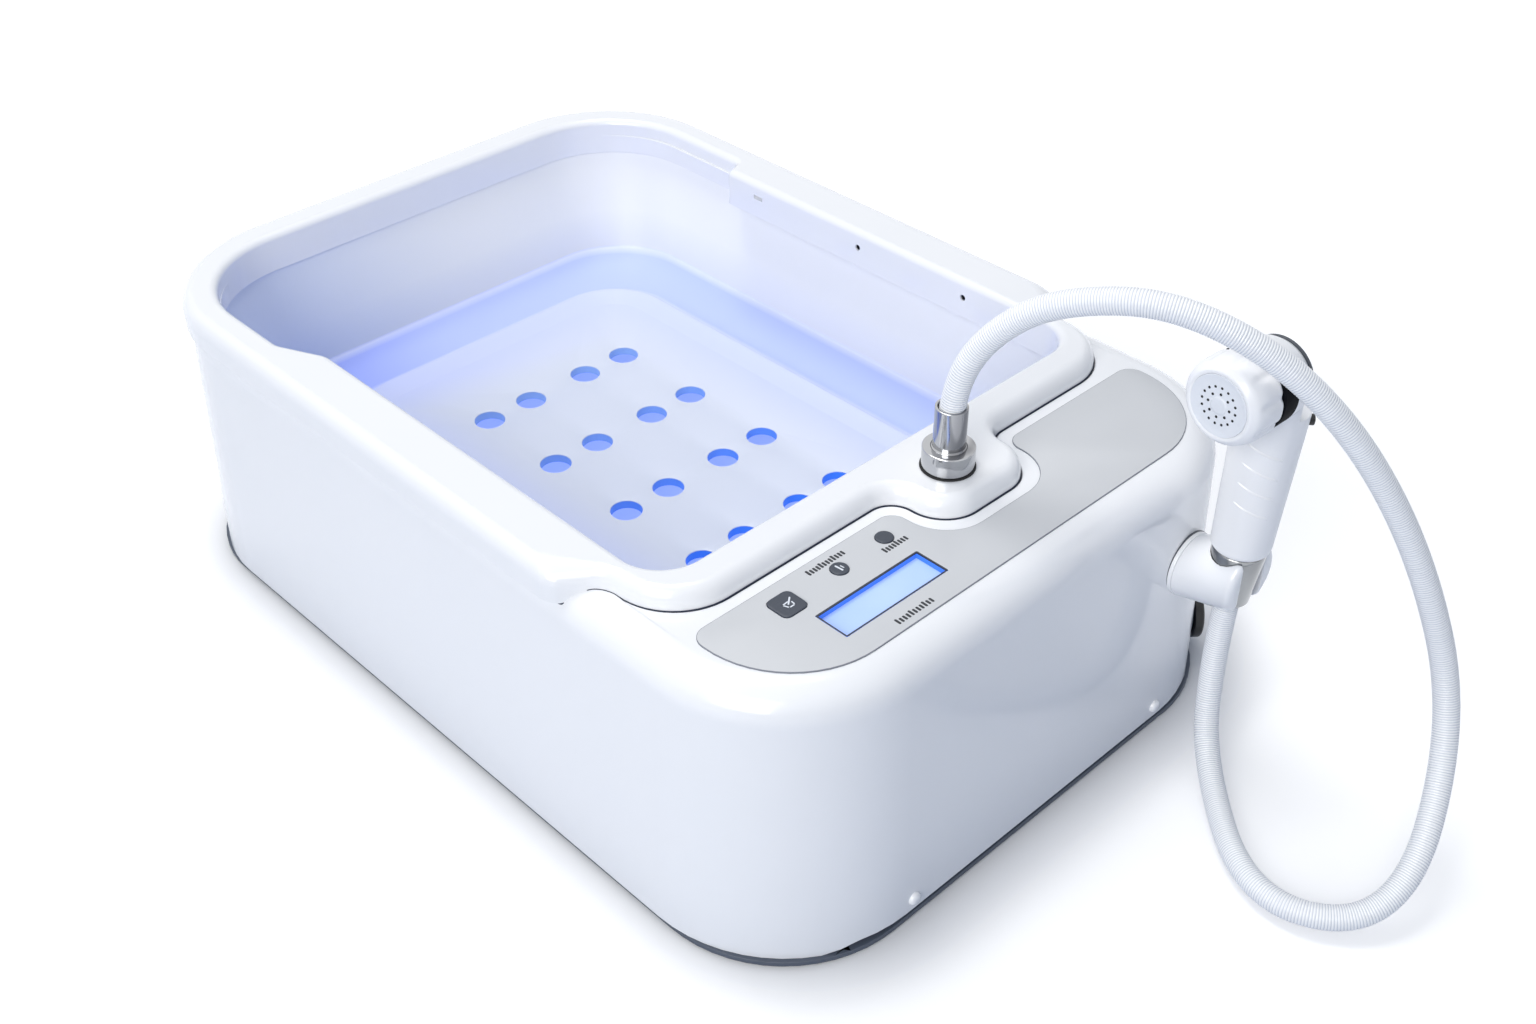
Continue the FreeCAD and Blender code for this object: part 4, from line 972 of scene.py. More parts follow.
# Rim cover: rounded ledge with side rails, the pod for the hose and small jets in the rails
def rim_corners(ease=0.0):
    """Plan of the rim; its step from the rails to the deck eases out towards the top."""
    pod_front = rim_front - pod_reach
    left = pod_x - pod_half
    right = pod_x + pod_half
    tail = (rim_tail_y + tail_ease * ease, rim_tail_turn + tail_turn_ease * ease)
    step = (rim_step_y - step_ease * ease, rim_step_turn + step_turn_ease * ease)
    return [(rim_half, *tail), (rim_half, rim_back, rim_back_turn), (-rim_half, rim_back, rim_back_turn),
            (-rim_half, *tail), (-rim_step_x, *step), (-rim_step_x, rim_front, rim_turn),
            (left, rim_front, pod_neck_turn), (left, pod_front, pod_turn),
            (right, pod_front, pod_turn), (right, rim_front, pod_neck_turn),
            (rim_step_x, rim_front, rim_turn), (rim_step_x, *step)]


def opening_corners():
    """Plan of the rim's opening."""
    right_near, right_far = right_rail_end
    left_near, left_far = left_rail_end
    return [(opening_half, opening_front, opening_turn), (opening_half, *right_near), (far_half, *right_far),
            (far_half, far_back, far_turn), (-far_half, far_back, far_turn), (-far_half, *left_far),
            (-opening_half, *left_near), (-opening_half, opening_front, opening_turn)]


def make_rim():
    bm = bmesh.new()
    outer = [outline(bm, rim_corners(), rim_seat)]
    for inset, drop in quarter(1.0, steps=9):
        outer.append(outline(bm, grown(rim_corners(inset), -inset * rim_edge), rim_top - drop * rim_roll))
    outer.append(outline(bm, grown(rim_corners(1.0), -rim_edge - rim_flat), rim_top))
    inner = [outline(bm, grown(opening_corners(), rim_inner_edge + rim_flat), rim_top)]
    for inset, drop in reversed(list(quarter(rim_inner_edge))):
        inner.append(outline(bm, grown(opening_corners(), inset), rim_top - drop))
    inner.append(outline(bm, opening_corners(), skirt_foot))
    inner.append(outline(bm, grown(opening_corners(), skirt_wall), skirt_foot))
    inner.append(outline(bm, grown(opening_corners(), skirt_wall), rim_seat))
    skin(bm, outer)
    skin(bm, inner)
    fill(bm, outer[-1], inner[0])
    fill(bm, outer[0], inner[-1])
    bmesh.ops.remove_doubles(bm, verts=bm.verts, dist=WELD)
    bmesh.ops.recalc_face_normals(bm, faces=bm.faces)
    rod = [(0, -jet_depth), (jet_bore, -jet_depth), (jet_bore, jet_depth), (0, jet_depth)]
    tools = []
    for side in (-1, 1):
        for y in jet_rows:
            drill = Matrix.Translation((side * opening_half, y, jet_z)) @ tilted(90, "Y")
            tools.append(turned(rod, jet_steps, drill))
        tools.append(block(slot_size, (side * opening_half, slot_y, slot_z), slot_bevel))
    rim = combined(bm, "DIFFERENCE", *tools)
    made(rim, "rim_ledge", [white], "basin", "white_gloss", "rim_cover")


def make_seal():
    """Dark seal in the joint between rim and deck; past the rim's step it runs hidden inside the rim."""
    bm = bmesh.new()
    plan = []
    slant = (rim_tail_y - rim_step_y) / (rim_half - rim_step_x)
    tail = rim_tail_y - slant * seal_depth
    for x, y, radius in rim_corners():
        if abs(x) == rim_half:
            x = math.copysign(rim_half - seal_depth, x)
            y = tail if y == rim_tail_y else y - seal_depth
            radius -= seal_depth
        plan.append((x, y, radius))
    loops = [outline(bm, grown(plan, amount), z) for amount, z in seal_section]
    skin(bm, loops + loops[:1])
    flat = half_width - shoulder
    deepest = math.sqrt(shoulder ** 2 - (shoulder - deck_top + rim_seat) ** 2)
    for vert in bm.verts:
        past = min(max(abs(vert.co.x) - flat, 0.0), deepest)
        hidden = clamped((vert.co.y - tail) / seal_depth)
        vert.co.z += deck_top - shoulder + math.sqrt(shoulder ** 2 - past ** 2) + hidden * seal_depth
    made(bm, "rim_seal", [seal_dark], "basin", "gasket_black")


def make_jets():
    """Nozzle eyes in the side rails."""
    bm = bmesh.new()
    profile = [(0, jet_floor), (jet_eye, jet_floor), (jet_eye, jet_face, 0.2), (jet_ring, jet_face, 0.2),
               (jet_ring, jet_back), (0, jet_back)]
    for side in (-1, 1):
        for y in jet_rows:
            eye = Matrix.Translation((side * (opening_half + jet_sink), y, jet_z)) @ tilted(side * 90, "Y")
            turned(profile, jet_steps, eye, bm)
    made(bm, "jet_eyes", [steel], "basin", "polished", "side_jets")


# Foot well: leaning wall, lit ledge, tray seat and sump
def make_well():
    bm = bmesh.new()
    flange = outline(bm, oblong(*flange_plan), rim_seat)
    brim = outline(bm, oblong(*brim_plan), rim_seat)
    foot = outline(bm, oblong(*ledge_plan), ledge_z)
    seat = outline(bm, oblong(*seat_plan), seat_z)
    step = outline(bm, oblong(*sump_plan), seat_z)
    sump = outline(bm, oblong(*sump_plan), sump_z)
    skin(bm, [flange, brim, foot, seat, step, sump])
    fill(bm, sump)
    bmesh.ops.bevel(bm, geom=foot, offset=ledge_bevel, segments=3, profile=0.5, affect="EDGES", material=-1)
    made(bm, "foot_well", [well], "basin", "liner_white", "tub_liner", sharp=40)


# Foot tray: dished edge and rows of drain holes with short sleeves
def in_sleeve(face):
    centre = face.calc_center_median()
    upright = abs(face.normal.z) < sleeve_steep
    in_field = abs(centre.x) < field_half and field_front < centre.y < field_back
    return centre.z < sleeve_top and upright and in_field


def make_tray():
    bm = bmesh.new()
    plan = oblong(*tray_plan)
    loops = [outline(bm, grown(plan, -tray_lip), seat_z), outline(bm, plan, seat_z)]
    for inset, drop in quarter(tray_edge, steps=4):
        loops.append(outline(bm, grown(plan, -inset), tray_top - drop))
    for inset, z in tray_dish:
        loops.append(outline(bm, grown(plan, -inset), z))
    skin(bm, loops)
    holes = []
    for row in range(hole_rows):
        for x in hole_columns:
            y = hole_first_y - hole_pitch * row
            holes.append([circle(bm, x, y, z, radius) for radius, z in hole_rings])
    fill(bm, loops[-1], *[rings[0] for rings in holes])
    for rings in holes:
        skin(bm, rings)
    paint(bm, 1, in_sleeve)
    made(bm, "tray_plate", [tray_plate, hole_painted_light], "tray", "tray_grey", "foot_tray")


# Base pan under the casing
def make_pan():
    bm = bmesh.new()
    end = half_length + foot_flare - pan_inset
    plan = oblong(half_width + foot_flare - pan_inset, -end, end, pan_turn, pan_turn)
    shelf = wall_foot - pan_clear
    levels = ((-pan_lip, pan_foot), (-pan_edge, pan_foot), (0, pan_foot + pan_edge),
              (0, wall_foot - pan_top_edge), (-pan_top_edge, shelf), (-pan_wall, shelf), (-pan_wall, pan_top))
    loops = [outline(bm, grown(plan, amount), z) for amount, z in levels]
    skin(bm, loops)
    fill(bm, loops[0])
    fill(bm, loops[-1])
    made(bm, "base_skirt", [base_dark], "basin", "base_grey", "base_pan")


# Control panel: film round the pod, with openings for the display and the keys
def make_panel():
    bm = bmesh.new()
    left = pod_x - pod_half - panel_pod_gap
    right = pod_x + pod_half + panel_pod_gap
    corners = [(panel_half, panel_front, panel_front_turn), (panel_half, panel_back, panel_turn),
               (right, panel_back, panel_turn), (right, panel_pod_front, panel_pod_turn),
               (left, panel_pod_front, panel_pod_turn), (left, panel_back, panel_turn),
               (-panel_half, panel_back, panel_turn), (-panel_half, panel_front, panel_front_turn)]
    foot = outline(bm, corners, deck_top - panel_sink)
    side = outline(bm, corners, panel_top - panel_edge_drop)
    top = outline(bm, grown(corners, -panel_edge), panel_top)
    skin(bm, [foot, side, top])
    hole_foot = deck_top - panel_hole_depth
    holes = []
    for shape in (display_gap(), around(key_square, key_half + key_gap, key_half + key_gap, key_turn)):
        holes.append([outline(bm, shape, z, steps=4) for z in (panel_top, hole_foot)])
    for centre in (key_heat, key_water):
        holes.append([circle(bm, *centre, z, key_round + key_gap) for z in (panel_top, hole_foot)])
    fill(bm, top, *[hole[0] for hole in holes])
    for hole in holes:
        skin(bm, hole)
    # Painted shade: the film's edges and the walls of its openings are darker, for the shade of the gap round
    # them.
    paint(bm, 1, lambda face: face.calc_center_median().z < panel_top - HAIR)
    made(bm, "panel_film", [panel_grey, panel_edge_shade], "basin", "panel_grey", "control_panel")


def make_display():
    """Recessed display: dark outline, deep blue walls and a pale lit floor."""
    bm = bmesh.new()
    line_top = panel_top + lcd_line_rise
    levels = ((lcd_line_out, lcd_foot), (lcd_line_out, line_top), (lcd_line_in, line_top),
              (lcd_line_in, lcd_ledge), (lcd_line_in, lcd_base))
    pane = around(lcd_at, *lcd_half, lcd_turn)
    loops = [outline(bm, grown(pane, amount), z, steps=3) for amount, z in levels]
    skin(bm, loops)
    fill(bm, loops[-1])
    paint(bm, 1, lambda face: face.calc_center_median().z < deck_top and abs(face.normal.z) < STEEP)
    paint(bm, 2, lambda face: abs(face.normal.z) > STEEP and face.calc_center_median().z < lcd_foot + 1)
    made(bm, "display_pane", [lcd_line, lcd_wall, lcd_floor], "basin", "clear_window", "display_window")


# Keys and signs
def key_mesh(corners=None, centre=None):
    """Key cap with an eased top edge."""
    bm = bmesh.new()
    levels = [(0.0, key_foot)] + [(amount, key_top + rise) for amount, rise in key_edge]
    if corners:
        loops = [outline(bm, grown(corners, amount), z, steps=5) for amount, z in levels]
    else:
        loops = [circle(bm, *centre, z, key_round + amount) for amount, z in levels]
    skin(bm, loops)
    fill(bm, loops[-1])
    fill(bm, loops[0])
    return bm


def make_keys():
    square = key_mesh(corners=around(key_square, key_half, key_half, key_turn))
    made(square, "key_menu", [key_dark], "menu_button", "key_dark", "menu_key")
    made(key_mesh(centre=key_heat), "key_heat_cap", [key_dark], "heat_button", "key_dark", "heat_key")
    made(key_mesh(centre=key_water), "key_water_cap", [key_dark], "water_button", "key_dark", "water_key")


def flat_mark(name, shapes, z, body, finish, slot):
    """Thin raised mark of rounded plates, each given by its corners."""
    bm = bmesh.new()
    for corners in shapes:
        foot = outline(bm, corners, z - mark_sink, steps=4)
        top = outline(bm, corners, z + mark_rise, steps=4)
        skin(bm, [foot, top])
        fill(bm, top)
    made(bm, name, [finish], body, slot)


def bar(start, end, width):
    """Corners of a rounded bar between two points."""
    a = Vector(start)
    b = Vector(end)
    side = (b - a).normalized().orthogonal() * width / 2
    far = (b - a).normalized() * width / 2
    points = (a - far - side, b + far - side, b + far + side, a - far + side)
    return [(p.x, p.y, width * 0.45) for p in points]


def strokes_at(centre, strokes):
    """Bars of a sign on a key."""
    x, y = centre
    bars = []
    for start, end, width in strokes:
        bars.append(bar((x + start[0], y + start[1]), (x + end[0], y + end[1]), width))
    return bars


def make_marks():
    menu_sign = strokes_at(key_square, menu_strokes)
    flat_mark("menu_mark", menu_sign, key_top, "menu_button", mark_pale, "panel_grey")
    water_sign = strokes_at(key_water, water_strokes)
    flat_mark("water_mark", water_sign, key_top, "water_button", mark_pale, "panel_grey")
    ticks = []
    for (x, y), shift, drop, count, pitch in tick_rows:
        start = x + shift - pitch * (count - 1) / 2
        for i in range(count):
            length = tick_short if i % tick_group else tick_long
            foot = Vector((start + i * pitch, y + drop))
            ticks.append(bar(foot, foot + Vector((0, length)), tick_width))
    flat_mark("level_ticks", ticks, panel_top, "basin", mark_dark, "key_dark")


# Hose fitting on the pod
def make_fitting():
    here = Matrix.Translation((*fitting_at, 0))
    gasket = turned([(gasket_bore, rim_top), (gasket_radius, rim_top, 0.3), (gasket_radius, gasket_top, 0.3),
                     (gasket_bore, gasket_top)], matrix=here)
    made(gasket, "fitting_seal", [rubber], "basin", "gasket_black", "fitting_gasket")
    nut = turned([(fitting_bore, nut_foot), (nut_radius, nut_foot, 0.5), (nut_radius, nut_top, 0.7),
                  (nut_mouth, nut_top, 0.3), (nut_mouth, nut_seat), (fitting_bore, nut_seat)], matrix=here)
    made(nut, "turned_nut", [steel], "basin", "polished", "hose_nut")
    ferrule = turned([(fitting_bore, ferrule_foot), (ferrule_collar, ferrule_foot),
                      (ferrule_collar, ferrule_foot + ferrule_step, 0.4),
                      (ferrule_radius, ferrule_foot + ferrule_step + ferrule_slope, 0.3),
                      (ferrule_radius, ferrule_top, 0.5), (ferrule_mouth, ferrule_top, 0.3),
                      (ferrule_socket, hose_stop), (fitting_bore, hose_stop)], matrix=here)
    made(ferrule, "polished_ferrule", [steel], "basin", "polished", "hose_ferrule")


# Ribbed hose on the route's spline
def route_curve():
    """Object of the smooth line along the route, in metres."""
    curve = bpy.data.curves.new("hose_line", "CURVE")
    curve.dimensions = "3D"
    curve.twist_mode = "MINIMUM"
    line = curve.splines.new("NURBS")
    line.points.add(len(hose_route) - 1)
    for point, place in zip(line.points, hose_route):
        point.co = (*(c * MM for c in place), 1)
    line.order_u = 3
    line.use_endpoint_u = True
    curve.resolution_u = 240
    holder = bpy.data.objects.new("hose_line", curve)
    bpy.context.scene.collection.objects.link(holder)
    return holder


def make_hose():
    holder = route_curve()
    path = [vert.co.copy() for vert in seen_mesh(holder).vertices]
    holder.data.bevel_depth = hose_radius * MM
    holder.data.bevel_resolution = 6
    mesh = seen_mesh(holder)
    bpy.data.objects.remove(holder)
    ring_count = len(mesh.vertices) // len(path)
    furrow = mesh.attributes.new("furrow", "FLOAT", "POINT")
    run = 0.0
    for i, centre in enumerate(path):
        run += (centre - path[i - 1]).length if i else 0.0
        depth = (0.5 + 0.5 * math.cos(FULL_TURN * run / (rib_pitch * MM))) ** 3
        for j in range(i * ring_count, (i + 1) * ring_count):
            vert = mesh.vertices[j]
            vert.co = centre + (vert.co - centre) * (1 - depth * rib_depth / hose_radius)
            furrow.data[j].value = depth
    mesh.name = "ribbed_hose"
    mesh.materials.clear()
    mesh.materials.append(hose_white)
    mesh.shade_smooth()
    hose = bpy.data.objects.new("ribbed_hose", mesh)
    bpy.context.scene.collection.objects.link(hose)
    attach(hose, "basin")
    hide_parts("shower_hose")


# Handset, in its own frame: Z up the handle, spray towards -X
handset_place = Matrix.Translation(grip_at) @ tilted(grip_tilt, "X") @ tilted(grip_yaw, "Z")
head_frame = Matrix.Translation((0, 0, head_height)) @ tilted(-90, "Y")
spray_place = handset_place @ head_frame


def placed(bm, matrix):
    bmesh.ops.transform(bm, matrix=matrix, verts=bm.verts)
    return bm


def head_notch():
    """Wedge cut out of the handle's top for the head's band."""
    wedge = bmesh.new()
    low = head_height - notch_drop
    high = head_height + notch_over
    corners = [(notch_start, low), (notch_end, low - notch_fall), (notch_end, high), (notch_start, high)]
    face = wedge.faces.new([wedge.verts.new((x, -notch_half, z)) for x, z in corners])
    raised = bmesh.ops.extrude_face_region(wedge, geom=[face])
    lifted = [item for item in raised["geom"] if isinstance(item, bmesh.types.BMVert)]
    bmesh.ops.translate(wedge, vec=(0, 2 * notch_half, 0), verts=lifted)
    bmesh.ops.recalc_face_normals(wedge, faces=wedge.faces)
    return wedge


def make_handset():
    handle = turned([(0, 0), (handle_foot_radius, 0, handle_foot_edge), (handle_radius, handle_taper),
                     (handle_radius, head_height), (0, head_height)], handle_steps)
    handle = combined(handle, "DIFFERENCE", head_notch())
    barrel = turned([(0, ring_top), (barrel_foot_radius, ring_top, 0.5), (barrel_radius, barrel_flare),
                     (barrel_radius, band_foot), (stem_radius, band_foot), (stem_radius, stem_top),
                     (0, stem_top)], handle_steps, head_frame)
    body = placed(softened(combined(handle, "UNION", barrel), voxel=0.55, rounds=5), handset_place)
    made(body, "handset_shell", [grip_white], "handset", "white_gloss", "handset_body", sharp=60)


def make_ridges():
    """Slanting ridges round the grip that run out at their ends."""
    ridges = bmesh.new()
    centre = math.radians(ridge_bearing)
    span = math.radians(ridge_span)
    start = Matrix.Rotation(centre - span / 2, 4, "Z")
    slope = math.tan(math.radians(ridge_slant))
    taper = (handle_radius - handle_foot_radius) / handle_taper
    for i in range(ridge_count):
        height = ridge_foot + ridge_pitch * i
        radius = handle_foot_radius + taper * height
        low = radius - ridge_sink
        crest = [(radius + ridge_rise, z, 0.3) for z in ridge_crest]
        arc = turned([(low, -ridge_under), *crest, (low, ridge_over)], steps=28, matrix=start, angle=span)
        for vert in arc.verts:
            turn = math.atan2(vert.co.y, vert.co.x) % FULL_TURN - centre
            ease = min(1.0, (span / 2 - abs(turn)) / ridge_fade)
            length = math.hypot(vert.co.x, vert.co.y)
            vert.co.z += height - length * math.sin(turn) * slope
            shrink = (low + (length - low) * ease) / length
            vert.co.x *= shrink
            vert.co.y *= shrink
        joined(ridges, arc)
    made(placed(ridges, handset_place), "grip_ridges", [grip_white], "handset", "white_gloss")


def make_band():
    """Black band behind the collar, white where it meets the barrel."""
    band = turned([(stem_radius, band_foot), (band_radius, band_foot, 0.4), (band_middle_radius, band_start),
                   (band_crest_radius, band_top - band_crest_drop, 0.6), (band_radius, band_top),
                   (stem_radius, band_top)])
    grip = turned([(0, grip_room_foot), (grip_room, grip_room_foot), (grip_room, head_height),
                   (0, head_height)], handle_steps, head_frame.inverted())
    band = combined(band, "DIFFERENCE", grip)
    paint(band, 1, lambda face: face.calc_center_median().z < band_start)
    band = placed(band, spray_place)
    made(band, "black_band", [band_black, grip_white], "handset", "black_plastic", "head_band")


def make_back():
    """Trim ring and domed cap at the back of the head."""
    ring = turned([(0, ring_foot), (ring_radius, ring_foot, 0.5), (ring_radius, ring_top, 0.5),
                   (0, ring_top)], matrix=spray_place)
    made(ring, "trim_ring", [trim_dark], "handset", "trim_dark", "head_trim_ring")
    cap = turned([(0, dome_top), (dome_flat_radius, dome_flat, 4), (dome_edge_radius, dome_edge, 2),
                  (dome_radius, ring_foot), (0, ring_foot)], matrix=spray_place)
    made(cap, "back_dome", [grip_white], "handset", "white_gloss", "head_back_cap")


def make_collar():
    """Spray collar with shallow flutes that run out before its front edge."""
    end = collar_top
    collar = turned([(collar_bore, collar_foot), (collar_back_radius, collar_foot, 0.8),
                     (collar_radius, collar_foot + collar_back, 1.2), (collar_radius, end - collar_bend, 3),
                     (collar_front_radius, end - collar_front, 1.5), (collar_lip_radius, end, 1),
                     (collar_mouth, end - collar_lip, 0.4), (collar_mouth, end - collar_floor),
                     (collar_socket, end - collar_floor), (collar_socket, collar_stop),
                     (collar_bore, collar_stop), (collar_bore, collar_foot)], collar_steps)
    for vert in collar.verts:
        radius = math.hypot(vert.co.x, vert.co.y)
        if radius > flute_inner:
            bearing = math.atan2(vert.co.y, vert.co.x)
            scallop = (0.5 + 0.5 * math.cos(flutes * bearing)) ** 4
            fade = clamped((flute_end - vert.co.z) / flute_fade)
            shrink = 1 - flute_depth * scallop * fade / radius
            vert.co.x *= shrink
            vert.co.y *= shrink
    collar = placed(collar, spray_place)
    made(collar, "fluted_collar", [grip_white], "spray", "white_gloss", "spray_collar", sharp=50)


def make_spray():
    """Spray face with a raised middle, and its nozzles in two rings."""
    end = collar_top
    front = end - face_sink
    face = turned([(0, front), (face_middle, front, 0.5), (face_groove_radius, end - face_groove, 0.4),
                   (face_dish_radius, end - face_dish, 1), (face_radius, front, 0.4),
                   (face_radius, end - face_back), (0, end - face_back)], matrix=spray_place)
    made(face, "spray_disc", [face_grey], "spray", "face_grey", "spray_face")
    nozzles = bmesh.new()
    for count, radius in nozzle_rings:
        for i in range(count):
            out = Matrix.Translation((radius, 0, end - nozzle_sink))
            spot = Matrix.Rotation(FULL_TURN * i / count, 4, "Z") @ out
            turned(nozzle_profile, steps=14, matrix=spot, bm=nozzles)
    made(placed(nozzles, spray_place), "spray_nozzles", [rubber], "spray", "trim_dark")


def make_stop():
    """Small black button at the back of the handle."""
    bearing = math.radians(stop_bearing)
    out = Vector((math.cos(bearing), math.sin(bearing), 0))
    seat = Matrix.Translation(Vector((0, 0, stop_height)) + out * stop_seat)
    press = handset_place @ seat @ out.to_track_quat("Z", "Y").to_matrix().to_4x4()
    lug = turned([(0, 0), (stop_radius, 0), (stop_radius, stop_edge, 0.9),
                  (stop_dimple_radius, stop_dimple[0], 0.4), (0, stop_dimple[1])], steps=40, matrix=press)
    made(lug, "stop_lug", [black], "stop", "black_plastic", "stop_button")


def make_cone_nut():
    nut = turned([(cone_bore, cone_foot), (cone_foot_radius, cone_foot, 0.3),
                  (cone_foot_radius + cone_foot_edge, cone_foot + cone_foot_edge, 0.3),
                  (cone_radius, cone_top, 0.4), (cone_radius, cone_shoulder, 0.4),
                  (cone_radius + cone_shoulder - cone_face, cone_face, 0.2), (cone_neck, cone_face),
                  (cone_neck, cone_neck_top), (cone_bore, cone_neck_top), (cone_bore, cone_foot)],
                 matrix=handset_place)
    made(nut, "cone_nut", [steel_shaded_copy], "basin", "polished", "handset_cone_nut")


# Holder on the end wall
def make_holder():
    grip = Vector(grip_at)
    wall = Matrix.Translation((grip.x, holder_wall, holder_z)) @ tilted(90, "X")
    reach = holder_wall - (grip.y - holder_reach)
    tip = holder_radius + holder_flare
    stub = turned([(0, 0), (holder_radius, 0), (tip, reach, holder_nose), (0, reach)], steps=80, matrix=wall)
    for vert in stub.verts:
        vert.co.z += holder_lift * (holder_wall - vert.co.y) / reach
    seat_radius = cone_radius + seat_gap
    seat = turned([(0, seat_depth), (seat_foot_radius, seat_depth), (seat_foot_radius, cone_foot),
                   (seat_radius, cone_top), (seat_radius, seat_top), (seat_room, seat_top),
                   (seat_room, seat_room), (0, seat_room)], steps=64, matrix=handset_place)
    tilt = Matrix.Translation(grip) @ tilted(grip_tilt, "X")
    slot = block(slot_block, (holder_slot_shift, -slot_block[1] / 2, 0), matrix=tilt)
    low = Matrix.Translation((grip.x, holder_wall, holder_z - holder_radius))
    lean = low @ Matrix.Rotation(math.atan2(-holder_rise, reach), 4, "X")
    under = block(under_block, (0, under_shift, -under_block[2] / 2), matrix=lean)
    fork = softened(combined(stub, "DIFFERENCE", seat, slot, under), voxel=0.45, rounds=7)
    made(fork, "holder_cup", [white], "basin", "white_gloss", "holder_fork", sharp=60)
    plate = turned([(0, plate_depth), (plate_radius, plate_depth), (plate_radius, 0, 0.6),
                    (plate_radius - plate_edge, 0), (0, 0)], matrix=wall)
    made(plate, "holder_disc", [white], "basin", "white_gloss", "holder_plate")
    inner, outer = plate_seal
    foot, top = plate_seal_z
    seal = turned([(inner, foot), (outer, foot), (outer, top, 0.2), (inner, top)], matrix=wall)
    made(seal, "holder_seal", [trim_dark], "basin", "trim_dark")


# Small fittings
def make_plugs():
    plugs = bmesh.new()
    for side in (-1, 1):
        spot = Matrix.Translation((side * plug_x, -half_length - flare_at(plug_z), plug_z)) @ tilted(90, "X")
        turned(plug_profile, steps=48, matrix=spot, bm=plugs)
    made(plugs, "front_studs", [white], "basin", "white_gloss", "front_plugs")


def make_drain():
    angle = math.radians(drain_angle)
    outward = Vector((math.sin(angle), -math.cos(angle), 0))
    turn = Matrix((outward.cross((0, 0, -1)), (0, 0, 1), outward)).transposed().to_4x4()
    spot = Matrix.Translation(drain_at) @ turn
    back, front = drain_flange_z
    port = turned([(drain_bore, drain_inside), (drain_pipe, drain_inside), (drain_pipe, back),
                   (drain_flange, back), (drain_flange, front, 0.5), (drain_bore, front),
                   (drain_bore, drain_inside)], steps=64, matrix=spot)
    made(port, "drain_flange", [base_dark], "basin", "base_grey", "drain_port")
    cap = turned([(0, knob_inside), (knob_stem, knob_inside, 0.4), (knob_stem, knob_foot),
                  (knob_radius, knob_foot, 0.4), (knob_radius, knob_top, 1.8), (0, knob_top)],
                 steps=72, matrix=spot)
    block(knob_bar, (0, 0, knob_bar_z), bevel=0.9, matrix=spot, bm=cap)
    made(cap, "drain_knob", [black], "drain_knob", "black_plastic", "drain_cap")


def dress(names, finish):
    """Give carried-over CAD nodes a finish."""
    for name in names:
        nodes[name].data.materials.clear()
        nodes[name].data.materials.append(finish)


make_casing()
make_rim()
make_seal()
make_jets()
make_well()
make_tray()
make_pan()
make_panel()
make_display()
make_keys()
make_marks()
make_fitting()
make_hose()
make_handset()
make_ridges()
make_band()
make_back()
make_collar()
make_spray()
make_stop()
make_cone_nut()
make_holder()
make_plugs()
make_drain()
dress(["rubber_feet", "riser_hose", "suction_hose", "drain_hose"], rubber)
dress(["power_inlet", "power_rocker", "pump_housing", "pump_cradle", "thermostat"], black)
dress(["hose_spigot", "spigot_backnut"], brass)
dress(["control_board"], board_green)
dress(["board_standoffs", "light_strip"], mark_pale)
dress(["display_module"], lcd_floor)
dress(["pump_motor"], motor_grey)
dress(["heater_plate", "holder_screw"], heater_grey)


# Floor, light and camera
def floor_finish():
    """Near-white floor with the basin's shadow and a painted shadow round its footprint: white to the eye and
    in reflections, dimmer as a light.
    """
    finish = Finish("studio_floor", Roughness=0.6, Emission_Strength=1.0, Specular_IOR_Level=0.1)
    camera, glossy, through = [finish.node("ShaderNodeLightPath", out=way) for way in SEEN_RAYS]
    seen = finish.node("ShaderNodeClamp", Value=camera + glossy + through)
    pale = finish.blend(finish.noise(scale=2.0), tone(229, 230, 232), tone(227, 228, 231))
    finish.feed("Base Color", finish.blend(seen, tone(148, 162, 187), pale))
    # Painted shadow: the floor's glow is cut near the basin and eases up away from it, centred a little
    # towards +X.
    across = abs(finish.axis("X") - shade_shift * MM) - (half_width - corner_radius) * MM
    along = abs(finish.axis("Y")) - (half_length - corner_radius) * MM
    beyond_x = across.at_least(0.0)
    beyond_y = along.at_least(0.0)
    clear = (beyond_x * beyond_x + beyond_y * beyond_y).root() - corner_radius * MM
    near = finish.blend(finish.between(clear, low=0.002, high=0.06), NO_LIGHT, (0.36, 0.355, 0.345, 1.0))
    middle = finish.blend(finish.between(clear, low=0.05, high=0.6), near, (0.5, 0.5, 0.5, 1.0))
    lift = finish.blend(finish.between(clear, low=0.9, high=3.5), middle, FULL_LIGHT)
    finish.feed("Emission Color", finish.blend(seen, NO_LIGHT, lift))
    return finish.material


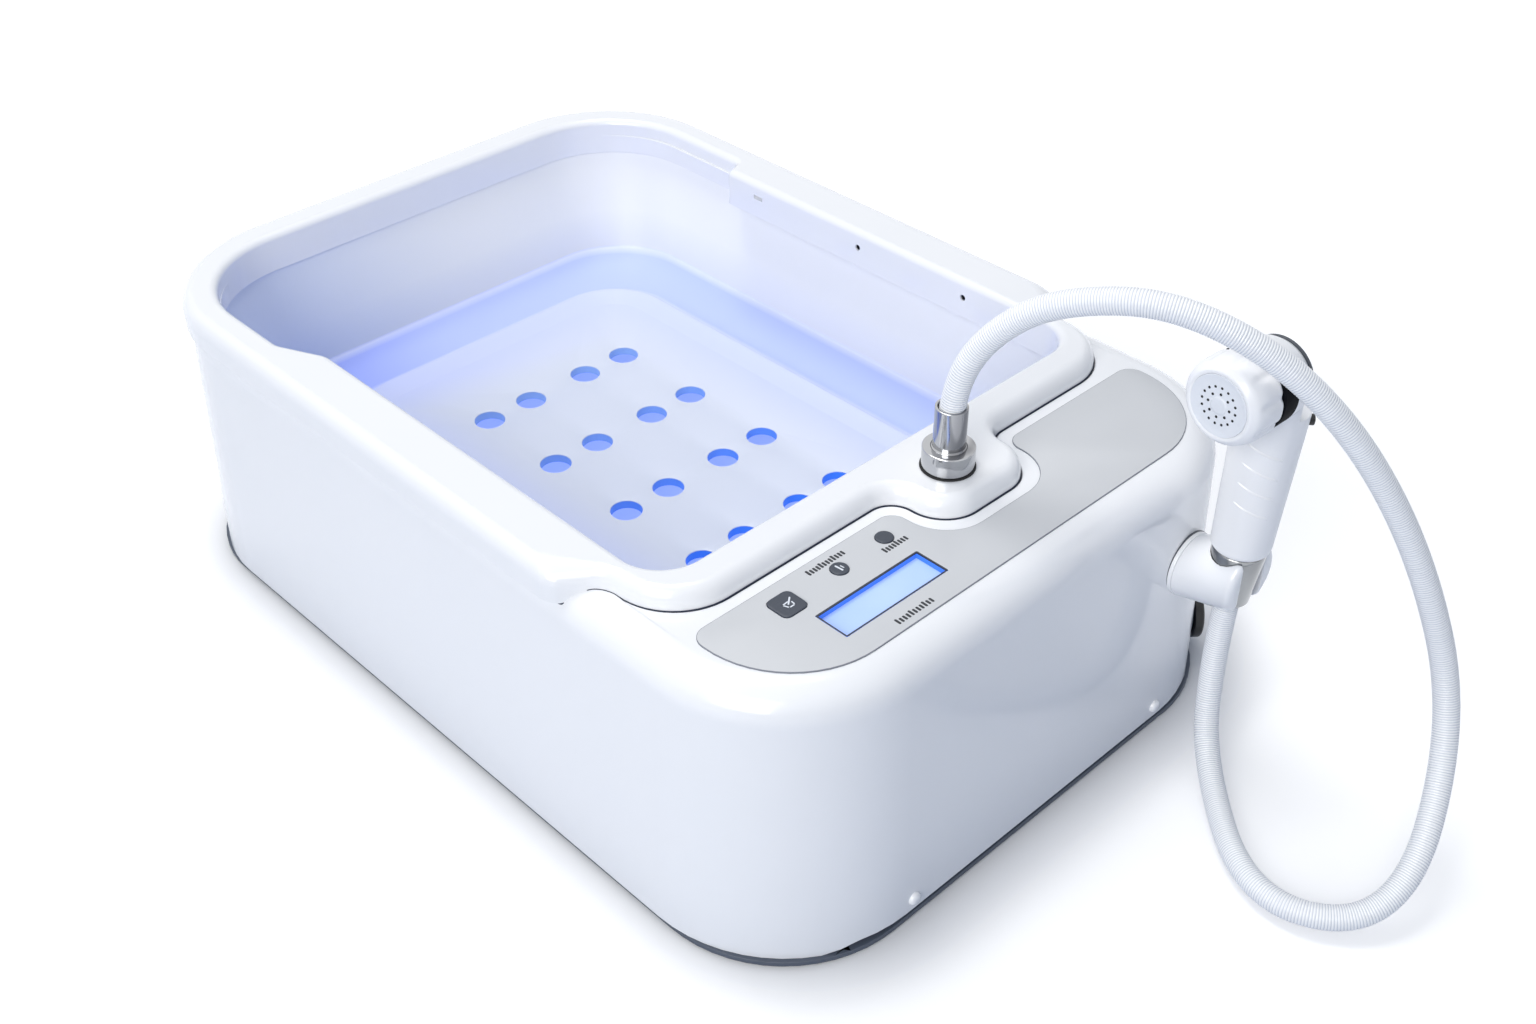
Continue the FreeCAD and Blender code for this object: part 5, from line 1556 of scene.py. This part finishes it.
def make_stage():
    bm = bmesh.new()
    bmesh.ops.create_grid(bm, x_segments=1, y_segments=1, size=floor_half)
    mesh = bpy.data.meshes.new("floor")
    bm.to_mesh(mesh)
    bm.free()
    mesh.materials.append(floor_finish())
    floor = bpy.data.objects.new("floor", mesh)
    bpy.context.scene.collection.objects.link(floor)


def lamp(name, place, size, watts, colour):
    """Square lamp aimed at the middle of the basin."""
    data = bpy.data.lights.new(name, "AREA")
    data.shape = "RECTANGLE"
    data.size = size
    data.size_y = size
    data.energy = watts
    data.color = colour
    light = bpy.data.objects.new(name, data)
    light.location = place
    light.rotation_euler = (Vector(lamp_aim) - Vector(place)).to_track_quat("-Z", "Y").to_euler()
    bpy.context.scene.collection.objects.link(light)


def make_world():
    """Plain soft surround: white to the eye and in reflections, dimmer as a light."""
    world = bpy.data.worlds.new("surround")
    bpy.context.scene.world = world
    world.use_nodes = True
    tree = world.node_tree
    shade = tree.nodes["Background"]
    path = tree.nodes.new("ShaderNodeLightPath")
    camera, glossy, through = [Flow(tree, path.outputs[way]) for way in SEEN_RAYS]
    mix = tree.nodes.new("ShaderNodeMix")
    mix.data_type = "RGBA"
    mix.inputs[6].default_value = (0.285, 0.322, 0.388, 1.0)
    mix.inputs[7].default_value = FULL_LIGHT
    tree.links.new((camera + glossy + through).socket, mix.inputs[0])
    tree.links.new(mix.outputs[2], shade.inputs["Color"])
    shade.inputs["Strength"].default_value = 1.0


def make_camera():
    data = bpy.data.cameras.new("camera")
    data.sensor_width = 36.0
    data.lens = 41.98
    camera = bpy.data.objects.new("camera", data)
    camera.location = (-0.62298, -0.72147, 0.77372)
    camera.rotation_euler = (math.radians(53.033), 0.0, math.radians(-44.156))
    bpy.context.scene.collection.objects.link(camera)
    bpy.context.scene.camera = camera


make_stage()
make_world()
lamp("key", (-2.3, -0.95, 1.5), size=1.6, watts=49.0, colour=(1.0, 0.98, 0.945))
lamp("top", (0.15, 0.6, 2.4), size=1.1, watts=29.0, colour=(1.0, 0.985, 0.96))
make_camera()
bpy.context.scene.view_settings.view_transform = "Standard"
